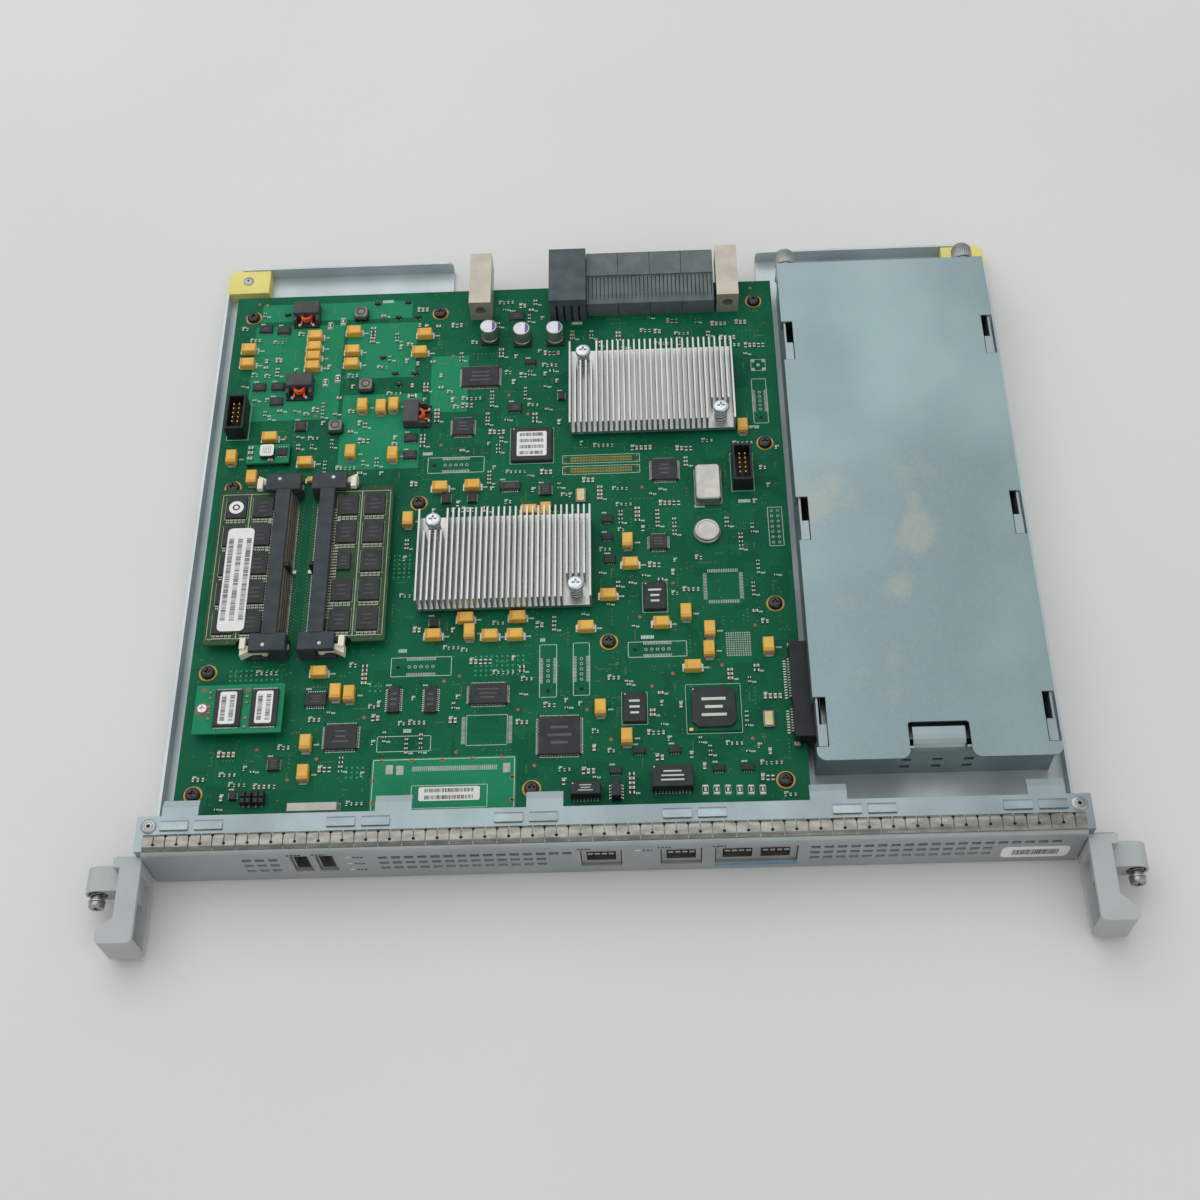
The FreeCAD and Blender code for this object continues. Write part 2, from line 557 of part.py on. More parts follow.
def build_handles():
    """Form the left handle with its screw ear, and mirror it for the right."""
    piece = Piece()
    plan = [("handle_base", "0"), ("handle_inner", "0"), ("handle_inner", "handle_reach"),
            ("handle_tip", "handle_reach"), ("handle_tip", "flare_end"), ("handle_waist", "flare_start"),
            ("handle_waist + press_gap", "handle_base_depth"), ("handle_base", "handle_base_depth")]
    loop = [(f"-({x})", f"{LINE} - {y}") for x, y in plan]
    piece.pad("XY_Plane", [loop], "handle_height", ("0", "0", "handle_low"))
    front = -size("overall_depth") / 2
    piece.soften("recess_wall", lambda at, way: abs(way.z) > 0.9 and near(at.y, front))
    ear_front = f"-({LINE} - ear_front)"
    ear_rear = f"-({LINE} - ear_rear)"
    end = ring("-ear_axis_x", "ear_axis_z", "ear_radius", 16)[4:13]
    ear = end + [("1 - handle_waist", f"ear_axis_z {way} ear_radius") for way in "-+"]
    piece.pad("XZ_Plane", [ear], "ear_front - ear_rear", ("0", "0", ear_rear))
    low, high = "handle_low + recess_wall", "handle_low + handle_height - recess_wall"
    grip = rectangle(f"{LINE} - handle_reach + recess_wall", low, f"{LINE} - recess_split", high)
    root = rectangle(f"{LINE} - recess_split - recess_wall", low, f"{LINE} - 3 * recess_wall", high)
    piece.pocket("YZ_Plane", [grip], "recess_deep", ("0", "0", "-handle_inner"), reverse=False)
    piece.pocket("YZ_Plane", [root], "recess_shallow", ("0", "0", "-handle_inner"), reverse=False)
    for radius, depth in (("spring_bore_radius", "spring_bore_depth"), ("screw_bore_radius", "ear_front")):
        piece.pocket("XZ_Plane", [hole("-ear_axis_x", "ear_axis_z", radius)], depth, ("0", "0", ear_front))
    node(piece.body, "left_handle")
    node(mirror(piece.body), "right_handle")


def build_captive_screws():
    """Turn the captive screws with their washers, and wind their springs."""
    for name, side in (("left", "-1"), ("right", "1")):
        axis_x = f"{side} * ear_axis_x"
        axis = (axis_x, "ear_axis_z")
        neck, seat = "screw_tip - screw_head", "screw_tip - screw_head - washer_thickness"
        screw = Piece()
        shoulder = ("0", "0", f"-({LINE} - ({neck}))")
        screw.pad("XZ_Plane", [ring(*axis, "screw_head_radius", 16)], "screw_head", shoulder)
        screw.pad("XZ_Plane", [(*axis, "screw_radius")], f"{neck} - ear_rear - fit_gap", shoulder,
                  reverse=True)
        recess = cross(*axis, "cross_half", "cross_arm")
        screw.pocket("XZ_Plane", [recess], "screw_recess", ("0", "0", f"-({LINE} - screw_tip)"))
        node(screw.body, f"{name}_captive_screw")
        washer = Piece()
        loops = [ring(*axis, "washer_radius", 16), (*axis, "screw_radius + pivot_gap")]
        washer.pad("XZ_Plane", loops, "washer_thickness", ("0", "0", f"-({LINE} - ({seat}))"))
        node(washer.body, f"{name}_screw_washer")
        length = size("screw_tip") - size("screw_head") - size("washer_thickness") - size("ear_front")
        spring = coil(axis_x, f"{LINE} - ({seat})", "ear_axis_z", False, size("screw_coil_radius"),
                      size("screw_wire"), length + size("spring_bore_depth"), size("screw_coils"))
        node(spring, f"{name}_screw_spring")


def build_guides():
    """Mould the left corner guide in the tray's rear corner, and mirror it for the right."""
    piece = Piece()
    side = "-tray_width / 2"
    plan = [("0", "guide_deep"), ("guide_long", "guide_deep"), ("guide_long", "tray_sheet"),
            ("guide_wing", "tray_sheet"), ("guide_wing", "0"), ("guide_chamfer", "0"), ("0", "guide_chamfer")]
    loop = [(f"{side} + {x}", f"{REAR} - {y}") for x, y in plan]
    piece.pad("XY_Plane", [loop], "guide_height", ("0", "0", "tray_sheet"))
    bore = hole("-guide_rivet_x", behind("guide_rivet_back"), "guide_rivet_radius + press_gap")
    piece.pocket("XY_Plane", [bore])
    node(piece.body, "left_corner_guide")
    node(mirror(piece.body), "right_corner_guide")


def build_board():
    """Cut the main board with notches for the ports, and stand it on threaded posts with screws."""
    piece = Piece()
    outline = rectangle("board_left", behind("board_front_back"), "board_right", behind("board_rear_back"))
    piece.pad("XY_Plane", [outline], "board_thickness", ("0", "0", BOARD_LOW))
    notches = []
    ports = [(x, width, "jack_depth") for x, width in JACKS]
    ports += [(x, "usb_width", "usb_depth") for x in USB_PORTS]
    for x, width, depth in ports:
        reach = f"({width} / 2 + fit_gap)"
        notches.append(rectangle(f"{x} - {reach}", LINE, f"{x} + {reach}",
                                 behind(f"{depth} - panel_thickness + 1")))
    piece.pocket("XY_Plane", notches)
    holes = [prism((x, behind(back), f"{BOARD_LOW} - 1"), "board_hole_radius", "board_thickness + 2", 6)
             for x, back in BOARD_SCREWS]
    node(cut(piece.body, holes), "main_board")
    posts, screws = [], []
    for x, back in BOARD_SCREWS:
        y = behind(back)
        post = prism((x, y, "tray_sheet"), "standoff_radius", "standoff_height")
        bore = prism((x, y, f"{BOARD_LOW} - standoff_bore_depth"), "standoff_bore",
                     "standoff_bore_depth + 1", 6)
        posts.append(cut(post, [bore]))
        head = prism((x, y, BOARD), "board_head_radius", "board_head", 8)
        shank = prism((x, y, f"{BOARD} - board_screw_length"), "board_screw_radius",
                      "board_screw_length", 6)
        screws.append(fuse([head, shank]))
    node(group(posts), "board_standoffs")
    node(group(screws), "board_screws")


def build_rear_connectors():
    """Place the guide blocks, the power connector and the row of signal connectors at the rear edge."""
    block = Piece()
    body = rectangle("-block_x - block_width / 2", behind("block_front_back"),
                     "-block_x + block_width / 2", behind("block_rear_back"))
    block.pad("XY_Plane", [body], "block_height", ("0", "0", BOARD))
    axis = ("-block_x", f"{BOARD} + block_bore_z")
    rear = ("0", "0", f"-({behind('block_rear_back')})")
    front = ("0", "0", f"-({behind('block_front_back')})")
    block.pocket("XZ_Plane", [(*axis, "block_bore_radius")], "block_bore_depth", rear, reverse=True)
    block.pocket("XZ_Plane", [hole(*axis, "block_hole_radius")], "block_rear_back - block_front_back", front)
    node(block.body, "left_guide_block")
    node(mirror(block.body), "right_guide_block")

    power = Piece()
    body = rectangle("power_left", behind("power_front_back"),
                     "power_left + power_width", behind("rear_face_back"))
    power.pad("XY_Plane", [body], "power_height", ("0", "0", BOARD))
    pitch = "power_width / (power_slots + 1)"
    slot = rectangle(f"power_left + {pitch} - power_slot / 2", f"{BOARD} - 1",
                     f"power_left + {pitch} + power_slot / 2", f"{BOARD} + power_slot_high")
    channel = power.pocket("XZ_Plane", [slot], "power_slot_depth",
                           ("0", "0", f"-({behind('power_front_back')})"))
    power.repeat(channel, pitch, "power_slots")
    node(power.body, "power_connector")

    signal = Piece()
    top = f"{BOARD} + signal_height"
    profile = [("signal_front_back", BOARD), ("rear_face_back", BOARD), ("rear_face_back", top),
               ("signal_step_back", top), ("signal_step_back", f"{top} - signal_step"),
               ("signal_slope_back", f"{top} - signal_step"),
               ("signal_front_back", f"{top} - 3 * signal_step")]
    whole = "signal_count * signal_width"
    signal.pad("YZ_Plane", [[(behind(y), z) for y, z in profile]], whole, ("0", "0", "signal_left"))
    slot = rectangle("signal_left + (wafer_pitch - wafer_slot) / 2", behind("signal_front_back - 1"),
                     "signal_left + (wafer_pitch + wafer_slot) / 2",
                     behind("signal_step_back - wafer_slot"))
    groove = signal.pocket("XY_Plane", [slot], "signal_step + wafer_depth", ("0", "0", top))
    signal.repeat(groove, "wafer_pitch", "wafer_count")
    node(signal.body, "signal_connectors")


def build_heat_sinks():
    """Mill two finned heat sinks over the processors, held down by spring screws."""
    chips, screws, springs = [], [], []
    under = f"{BOARD} + processor_height"
    floor = f"{under} + sink_base"
    for name in ("upper", "lower"):
        x, y = f"sink_{name}_x", behind(f"sink_{name}_back")
        chips.append(centred_box(x, y, BOARD, ("processor_side", "processor_side", "processor_height")))
        piece = Piece()
        left, front = f"{x} - sink_width / 2", f"{y} - sink_depth / 2"
        plate = rectangle(left, front, f"{left} + sink_width", f"{front} + sink_depth")
        piece.pad("XY_Plane", [plate], "sink_base", ("0", "0", under))
        blade = rectangle(left, front, f"{left} + fin_thickness", f"{front} + sink_depth")
        fin = piece.pad("XY_Plane", [blade], "sink_top - processor_height - sink_base", ("0", "0", floor))
        piece.repeat(fin, "(sink_width - fin_thickness) / (fin_count - 1)", "fin_count")
        spots = [(f"{x} - {way} * sink_screw_x", f"{y} + {way} * sink_screw_back", way)
                 for way in ("1", "-1")]
        clear = []
        for spot_x, spot_y, way in spots:
            clear.append(rectangle(f"{spot_x} - sink_pocket / 2", f"{spot_y} - {way} * sink_pocket / 2",
                                   f"{spot_x} + sink_pocket / 2", f"{y} + {way} * (sink_depth / 2 + 1)"))
        piece.pocket("XY_Plane", clear, "sink_top - processor_height - sink_base",
                     ("0", "0", f"{BOARD} + sink_top"))
        piece.pocket("XY_Plane", [hole(a, b, "sink_hole_radius") for a, b, way in spots])
        node(piece.body, f"{name}_heat_sink")
        for spot_x, spot_y, way in spots:
            neck = f"{BOARD} + sink_head_top - sink_head"
            head = prism((spot_x, spot_y, neck), "sink_head_radius", "sink_head", 12)
            shank = prism((spot_x, spot_y, BOARD), "sink_screw_radius", "sink_head_top - sink_head", 6)
            screws.append(fuse([head, shank]))
            length = size("sink_head_top") - size("sink_head") - size("processor_height") - size("sink_base")
            springs.append(coil(spot_x, spot_y, floor, True, size("sink_coil_radius"), size("sink_wire"),
                                length, size("sink_coils")))
    node(group(chips), "processors")
    node(group(screws), "heat_sink_screws")
    node(group(springs), "heat_sink_springs")


def socket_x(distance):
    """Return the X expression of a distance to the left of the memory sockets' middle plane."""
    return f"socket_middle_x - ({distance})"


def socket_y(distance):
    """Return the Y expression of a distance behind the memory sockets' middle line."""
    return behind(f"socket_middle_back + {distance}")


def socket_loop(near_x, near_y, far_x, far_y):
    """Return a rectangle counted from the memory sockets' middle."""
    return rectangle(socket_x(near_x), socket_y(near_y), socket_x(far_x), socket_y(far_y))


def build_memory_sockets():
    """Mould the left memory socket: a contact bar between two end blocks that hold the latches."""
    piece = Piece()
    block = "(socket_half_length - socket_block_deep)"
    bar = socket_loop("socket_bar_inner", f"-{block} - 1", "socket_bar_outer", f"{block} + 1")
    piece.pad("XY_Plane", [bar], "socket_height", ("0", "0", BOARD))
    step = socket_loop("socket_step_inner", f"-{block} - 1", "socket_bar_inner + 1", f"{block} + 1")
    piece.pad("XY_Plane", [step], "socket_step_height", ("0", "0", BOARD))
    ends = [socket_loop("socket_block_inner", f"{way} * {block}",
                        "socket_block_outer", f"{way} * socket_half_length") for way in ("-1", "1")]
    piece.pad("XY_Plane", ends, "socket_height", ("0", "0", BOARD))
    mouth = "module_outer - module_width"
    slot = socket_loop(mouth, "-socket_half_length - 1", "socket_block_outer + 1", "socket_half_length + 1")
    piece.pocket("XY_Plane", [slot], "module_thickness", ("0", "0", f"{BOARD} + module_low"), reverse=True)
    caves = [socket_loop(f"{mouth} - fit_gap", f"{way} * {block}",
                         "socket_block_outer + 1", f"{way} * (socket_half_length + 1)")
             for way in ("-1", "1")]
    piece.pocket("XY_Plane", caves, "socket_height - socket_sole - socket_roof",
                 ("0", "0", f"{BOARD} + socket_sole"), reverse=True)
    pivots = [hole(socket_x("pivot_x"), socket_y(f"{way} * (socket_half_length - pivot_inset)"),
                   "pivot_radius + press_gap", 12) for way in ("-1", "1")]
    piece.pocket("XY_Plane", pivots, "socket_roof + 1", ("0", "0", f"{BOARD} + socket_height"))
    node(piece.body, "left_memory_socket")
    node(mirror(piece.body, "socket_middle_x"), "right_memory_socket")


def build_memory_modules():
    """Cut the left memory board with its latch notches, mirror it, and put the chips on both."""
    piece = Piece()
    half = "module_length / 2"
    plate = socket_loop("module_outer - module_width", f"-{half}", "module_outer", half)
    piece.pad("XY_Plane", [plate], "module_thickness", ("0", "0", f"{BOARD} + module_low"))
    notches = [ring(socket_x("module_notch_x"), socket_y(f"{way} * {half}"), "module_notch", 12)
               for way in ("-1", "1")]
    piece.pocket("XY_Plane", notches)
    node(piece.body, "left_memory_module")
    node(mirror(piece.body, "socket_middle_x"), "right_memory_module")
    chips = []
    top = f"{BOARD} + module_low + module_thickness"
    chip = ("chip_width", "chip_depth", "chip_height")
    for row in range(-2, 3):
        y = socket_y(f"{row} * chip_row_pitch")
        for column in ("chip_column_inner", "chip_column_outer"):
            chips.append(centred_box(socket_x(column), y, top, chip))
        chips.append(centred_box(socket_x("-chip_column_outer"), y, top, chip))
        if row:
            chips.append(centred_box(socket_x("-chip_column_inner"), y, top, chip))
    register = ("register_width", "register_depth", "chip_height")
    chips.append(centred_box(socket_x("-chip_column_inner"), socket_y("0"), top, register))
    flash_top = f"{BOARD} + flash_low + flash_thickness"
    flash_y = behind("flash_front_back + flash_depth / 2")
    for share in ("0.38", "0.79"):
        x = f"flash_left + {share} * flash_width"
        chips.append(centred_box(x, flash_y, flash_top,
                                 ("flash_chip_width", "flash_chip_depth", "chip_height")))
    node(group(chips), "memory_chips")


def build_latches():
    """Form the left rear latch on its pivot pin, and mirror it to the other three corners."""
    piece = Piece()
    x, y = socket_x("pivot_x"), socket_y("socket_half_length - pivot_inset")
    low = f"{BOARD} + latch_low"
    tip = socket_x("latch_tip_x")
    hub = ring(x, y, "pivot_boss", 12)
    piece.pad("XY_Plane", [hub], "latch_height", ("0", "0", low))
    arm = rectangle(tip, f"{y} - latch_arm / 2", x, f"{y} + latch_arm / 2")
    piece.pad("XY_Plane", [arm], "latch_height", ("0", "0", low))
    finger = rectangle(tip, f"{y} - finger_reach", f"{tip} + finger_width", f"{y} + latch_arm / 2")
    piece.pad("XY_Plane", [finger], "finger_height", ("0", "0", f"{BOARD} + finger_low"))
    thumb = [(tip, y), (f"{tip} + 2 * finger_width", f"{y} + latch_arm / 2"),
             (tip, f"{y} + latch_arm / 2 + thumb_reach")]
    piece.pad("XY_Plane", [thumb], "latch_height", ("0", "0", low))
    piece.pocket("XY_Plane", [(x, y, "pivot_radius + pivot_gap")])
    middle = behind("socket_middle_back")
    node(piece.body, "left_rear_latch")
    node(front_mirror(piece.body, middle), "left_front_latch")
    node(mirror(piece.body, "socket_middle_x"), "right_rear_latch")
    node(front_mirror(mirror(piece.body, "socket_middle_x"), middle), "right_front_latch")
    pins = []
    for side in ("pivot_x", "-pivot_x"):
        for way in ("-1", "1"):
            at = (socket_x(side), socket_y(f"{way} * (socket_half_length - pivot_inset)"),
                  f"{BOARD} + socket_sole")
            pins.append(prism(at, "pivot_radius", "socket_height - socket_sole", 12))
    node(group(pins), "latch_pins")


def build_flash():
    """Place the flash module: a small board plugged down on a header and screwed to a post."""
    low = f"{BOARD} + flash_low"
    plate = box(("flash_left", behind("flash_front_back"), low),
                ("flash_width", "flash_depth", "flash_thickness"))
    at = ("flash_left + flash_screw_inset", behind("flash_front_back + flash_depth / 2"))
    bore = prism((*at, f"{low} - 1"), "flash_screw_radius + 2 * press_gap", "flash_thickness + 2", 12)
    node(cut(plate, [bore]), "flash_module")
    plug = centred_box("flash_left + flash_width - flash_plug", at[1], BOARD,
                       ("flash_plug", "flash_plug_long", "flash_low"))
    node(plug, "flash_connector")
    post = prism((*at, BOARD), "flash_post_radius", "flash_low")
    shank = prism((*at, BOARD), "flash_screw_radius", "flash_low + flash_thickness + flash_head", 12)
    head = prism((*at, f"{low} + flash_thickness"), "flash_head_radius", "flash_head", 16)
    node(fuse([post, shank, head]), "flash_fixing")


def build_packages():
    """Place the integrated circuits by their kind: middle X, depth, width and length."""
    kinds = {
        "quad_flat_packages": ("flat_pack_height", (
            (-60, 248, 20, 14), (-67.5, 218.4, 12, 12), (26.8, 190.2, 14, 14), (22.9, 150.5, 10, 10),
            (-21.5, 54.9, 20, 20), (-114.4, 56.9, 16, 14), (-52.2, 75.7, 18.4, 12))),
        "grid_array_packages": ("grid_pack_height", (
            (-34.8, 206.6, 19, 19), (20.6, 122, 9.6, 14), (10.5, 67.1, 9.6, 14), (44.1, 66.1, 22, 22))),
        "small_outline_packages": ("small_pack_height", (
            (-92.8, 74.1, 7.4, 12.6), (-76.8, 73.6, 7.4, 12.6), (-126.5, 75.3, 9.4, 8.6),
            (-44.6, 183.6, 9.6, 6.2),
            (-28.2, 181.1, 6.4, 6.4), (-43, 229, 6, 6), (-145, 222, 6, 6), (0, 164, 5, 5), (1, 142, 5, 5),
            (0, 154, 5, 4), (12, 47, 5, 4), (27, 47, 5, 4), (2, 38, 5, 4), (45, 38, 5, 4), (57, 38, 5, 4),
            (-36, 256, 5, 4), (-21, 235, 4, 5), (-167, 282, 6.2, 5.4), (-158, 281, 6.2, 5.4),
            (-167, 246, 6.2, 5.4), (-158, 246, 6.2, 5.4), (-158, 237, 6.2, 5.4), (-92, 213, 6.2, 5.4),
            (-92, 203, 6.2, 5.4), (-74, 178, 5, 6), (-62, 178, 5, 6), (-77, 112, 5, 5), (-43, 285, 7, 6),
            (-142, 45, 6, 6), (-158, 31, 4, 4))),
    }
    for name, (height, spots) in kinds.items():
        items = [centred_box(x, behind(back), BOARD, (wide, deep, height)) for x, back, wide, deep in spots]
        node(group(items), name)


def build_capacitors():
    """Place the tantalum capacitors, the three cans and the round backup capacitor."""
    lengthwise = (
        (-174, 269), (-174, 260), (-142, 276), (-142, 269), (-142, 263), (-142, 257), (-123, 278),
        (-123, 266), (-123, 258), (-88, 275), (-90, 264), (-159, 215), (-141, 200), (-77, 183.6),
        (-62, 184), (-35.6, 169), (-63, 113), (-40, 113), (-77, 105), (-52, 104), (-41, 104), (-10, 107),
        (0, 123), (10, 139), (23, 108), (36, 86), (-126, 88))
    crosswise = (
        (-120, 205), (-100, 203), (-116, 232), (-107, 231), (-101, 232), (-176, 204), (-165.3, 192),
        (-91, 166), (-28, 169), (-61, 106), (9, 151), (34, 113), (44, 104), (43.3, 94), (69, 95),
        (64, 213), (-4, 67), (7, 53), (-118, 78), (-112, 77), (-129, 54), (-129, 40))
    long, short, high = "tantalum_long", "tantalum_short", "tantalum_height"
    items = [centred_box(x, behind(back), BOARD, (long, short, high)) for x, back in lengthwise]
    items += [centred_box(x, behind(back), BOARD, (short, long, high)) for x, back in crosswise]
    node(group(items), "tantalum_capacitors")
    cans = []
    for x, back in ((-56, 272), (-40, 270), (-24, 270)):
        foot = centred_box(x, behind(back), BOARD, ("can_base", "can_base", "can_base_height"))
        can = prism((x, behind(back), BOARD), "can_radius", "can_height", 16)
        cans.append(fuse([foot, can]))
    node(group(cans), "electrolytic_capacitors")
    node(prism((45, behind(155), BOARD), "backup_radius", "backup_height", 24), "backup_capacitor")


def build_power_parts():
    """Place the inductors and the small converter board on its two feet."""
    items = []
    for x, back in ((-147, 288.8), (-147, 243.9), (-89.4, 225.4)):
        items.append(centred_box(x, behind(back), BOARD,
                                 ("coil_block", "coil_block", "coil_block_height")))
    for x, back in ((-120, 289), (-115, 244), (-128, 220)):
        items.append(prism((x, behind(back), BOARD), "coil_drum_radius", "coil_drum_height", 12))
    node(group(items), "power_inductors")
    x, y = "converter_x", behind("converter_back")
    low = f"{BOARD} + converter_low"
    plate = centred_box(x, y, low, ("converter_width", "converter_depth", "converter_thickness"))
    shift = "(converter_width - converter_foot) / 2"
    feet = [centred_box(f"{x} {way} {shift}", y, BOARD,
                        ("converter_foot", "converter_depth", "converter_low"))
            for way in "+-"]
    choke = centred_box(x, y, f"{low} + converter_thickness",
                        ("converter_coil", "converter_coil", "converter_coil_height"))
    node(fuse([plate, choke] + feet), "converter_board")


def build_headers():
    """Place the two box headers with their pins and the grey display connector."""
    items = []
    for x, back in ((-175, 226), (62.5, 188)):
        y = behind(back)
        shell = centred_box(x, y, BOARD, ("header_width", "header_depth", "header_height"))
        hollow = centred_box(x, y, f"{BOARD} + header_floor", (
            "header_width - 2 * header_wall", "header_depth - 2 * header_wall", "header_height"))
        pins = []
        for column in ("-0.5", "0.5"):
            for row in range(-2, 3):
                pins.append(centred_box(f"{x} + {column} * header_pitch", f"{y} + {row} * header_pitch",
                                        BOARD, ("header_pin", "header_pin", "header_height - header_wall")))
        items.append(fuse([cut(shell, [hollow])] + pins))
    items.append(centred_box(-123.8, behind(24), BOARD,
                             ("display_width", "display_depth", "display_height")))
    node(group(items), "board_headers")


def build_timing():
    """Place the oscillator can, the crystals and the network transformers."""
    items = [centred_box(46.4, behind(180), BOARD,
                         ("oscillator_width", "oscillator_depth", "oscillator_height"))]
    for x, back in ((-12, 177), (67, 60)):
        items.append(centred_box(x, behind(back), BOARD,
                                 ("crystal_width", "crystal_depth", "crystal_height")))
    node(group(items), "oscillators")
    items = []
    for x, back, wide, deep in ((25.6, 33, 16.9, 12), (-10.4, 28.5, 12.4, 8), (2.2, 28.5, 6, 8)):
        items.append(centred_box(x, behind(back), BOARD, (wide, deep, "transformer_height")))
    node(group(items), "network_transformers")


def port(x, width, depth, low, height, mouths):
    """Return a port shell that stands in a board notch on two side tabs, with mouths cut in its face."""
    front = f"{LINE} - panel_thickness + 1"
    shell = box((f"{x} - {width} / 2", front, low), (width, depth, height))
    tabs = box((f"{x} - {width} / 2 - port_tab", behind("board_front_back + 1"), BOARD),
               (f"{width} + 2 * port_tab", f"{depth} - board_front_back - panel_thickness",
                "port_tab_height"))
    holes = [box((left, f"{front} - 1", bottom), (wide, f"{deep} + 1", high))
             for left, bottom, wide, high, deep in mouths]
    return cut(fuse([shell, tabs]), holes)


def build_ports():
    """Place the network jacks, the USB ports and the status lights behind the panel."""
    jacks = []
    bottom = "jack_low + (jack_height - jack_mouth_height) / 2"
    for x, width in JACKS:
        steps = ("-jack_pair_step / 2", "jack_pair_step / 2") if width == "jack_pair_width" else ("0",)
        mouths = [(f"{x} + {step} - jack_mouth_width / 2", bottom, "jack_mouth_width", "jack_mouth_height",
                   "jack_mouth_depth") for step in steps]
        jacks.append(port(x, width, "jack_depth", "jack_low", "jack_height", mouths))
    node(group(jacks), "network_jacks")
    ports = []
    front = f"{LINE} - panel_thickness + 1"
    for x in USB_PORTS:
        bottom = "usb_low + (usb_height - usb_mouth_height) / 2"
        mouth = (f"{x} - usb_mouth_width / 2", bottom, "usb_mouth_width", "usb_mouth_height",
                 "usb_mouth_depth")
        shell = port(x, "usb_width", "usb_depth", "usb_low", "usb_height", [mouth])
        tongue = box((f"{x} - usb_tongue / 2", f"{front} + usb_tongue_setback", f"{bottom} + 1"),
                     ("usb_tongue", "usb_mouth_depth - usb_tongue_setback + 1", "usb_mouth_height - 2"))
        ports.append(fuse([shell, tongue]))
    node(group(ports), "usb_ports")
    lights = [box((f"{x} - light_width / 2", f"{LINE} - panel_thickness", f"{z} - light_height / 2"),
                  ("light_width", "light_length", "light_height")) for x, z in LIGHTS]
    node(group(lights), "status_lights")


def build_drive_box():
    """Fold the drive bay's walls round the drive posts, with vents, a rolled shelf and cover tabs."""
    piece = Piece()
    right, front, rear = "box_left + box_width", behind("box_front_back"), behind("box_rear_back")
    outer = rectangle("box_left", front, right, rear)
    inner = rectangle("box_left + box_sheet", f"{front} + box_sheet",
                      f"{right} - box_sheet", f"{rear} - box_sheet")
    piece.pad("XY_Plane", [outer, inner], "box_top - tray_sheet", ("0", "0", "tray_sheet"))
    gap = rectangle("box_vent_x - box_shelf_width / 2", "box_top - box_roll",
                    "box_vent_x + box_shelf_width / 2", "box_top + 1")
    piece.pocket("XZ_Plane", [gap], "3 * box_sheet", ("0", "0", f"-({front} - box_sheet)"))
    turn = [math.radians(18 * step) for step in range(6)]
    outside = [(f"{front} + box_roll * {1 - math.cos(angle):.6f}",
                f"box_top - box_roll * {1 - math.sin(angle):.6f}") for angle in turn]
    inside = [(f"{front} + box_roll - (box_roll - box_sheet) * {math.cos(angle):.6f}",
               f"box_top - box_roll + (box_roll - box_sheet) * {math.sin(angle):.6f}")
              for angle in turn[::-1]]
    rim = [(f"{front} + box_shelf_deep", "box_top"), (f"{front} + box_shelf_deep", "box_top - box_sheet")]
    piece.pad("YZ_Plane", [outside + rim + inside], "box_shelf_width", ("0", "0", "box_vent_x"), both=True)
    reach = "(hook_wide - cover_overhang - fit_gap)"
    for edge in ("box_left", f"{right} - {reach}"):
        tabs = [rectangle(edge, behind(f"{hook} + fit_gap"), f"{edge} + {reach}",
                          behind(f"{hook} + hook_tab")) for hook in HOOKS]
        piece.pad("XY_Plane", tabs, "box_sheet", ("0", "0", "box_top - box_sheet / 2"))
    window = rectangle(behind("box_side_window_back"), "box_side_window_low",
                       behind("box_side_window_back + box_side_window_long"), "box_side_window_high")
    piece.pocket("YZ_Plane", [window], "2 * box_sheet", ("0", "0", "box_left + 2 * box_sheet"))
    slots = [rectangle("box_vent_x - box_vent_pitch - box_vent / 2", f"{z} - box_vent_height / 2",
                       "box_vent_x - box_vent_pitch + box_vent / 2", f"{z} + box_vent_height / 2")
             for z in ("box_vent_z", "box_vent_z + box_vent_row_pitch")]
    vent = piece.pocket("XZ_Plane", slots, "3 * box_sheet", ("0", "0", f"-({front} - box_sheet)"))
    piece.repeat(vent, "box_vent_pitch", "3")
    holes = [hole(x, "knob_z", "knob_shank_radius + knob_hole_gap") for x in ("knob_left_x", "knob_right_x")]
    piece.pocket("XZ_Plane", holes, "3 * box_sheet", ("0", "0", f"-({rear} - 2 * box_sheet)"))
    posts = [piece.body]
    for x in ("drive_left + drive_post_inset", "drive_left + drive_long - drive_post_inset"):
        for depth in ("drive_front_back + drive_post_inset",
                      "drive_front_back + drive_wide - drive_post_inset"):
            posts.append(prism((x, behind(depth), "tray_sheet"), "drive_post_radius",
                               "drive_low - tray_sheet"))
    node(group(posts), "drive_box")
    drive = box(("drive_left", behind("drive_front_back"), "drive_low"),
                ("drive_long", "drive_wide", "drive_thick"))
    node(drive, "hard_drive")
    plug = box(("drive_plug_left", behind("drive_plug_front_back"), BOARD),
               ("drive_plug_deep", "drive_plug_long", "drive_plug_height"))
    mouth = box(("drive_plug_left + drive_mouth", behind("drive_plug_front_back + drive_tongue"),
                 f"{BOARD} + drive_tongue"),
                ("drive_plug_deep", "drive_plug_long - 2 * drive_tongue",
                 "drive_plug_height - 2 * drive_tongue"))
    node(cut(plug, [mouth]), "drive_connector")


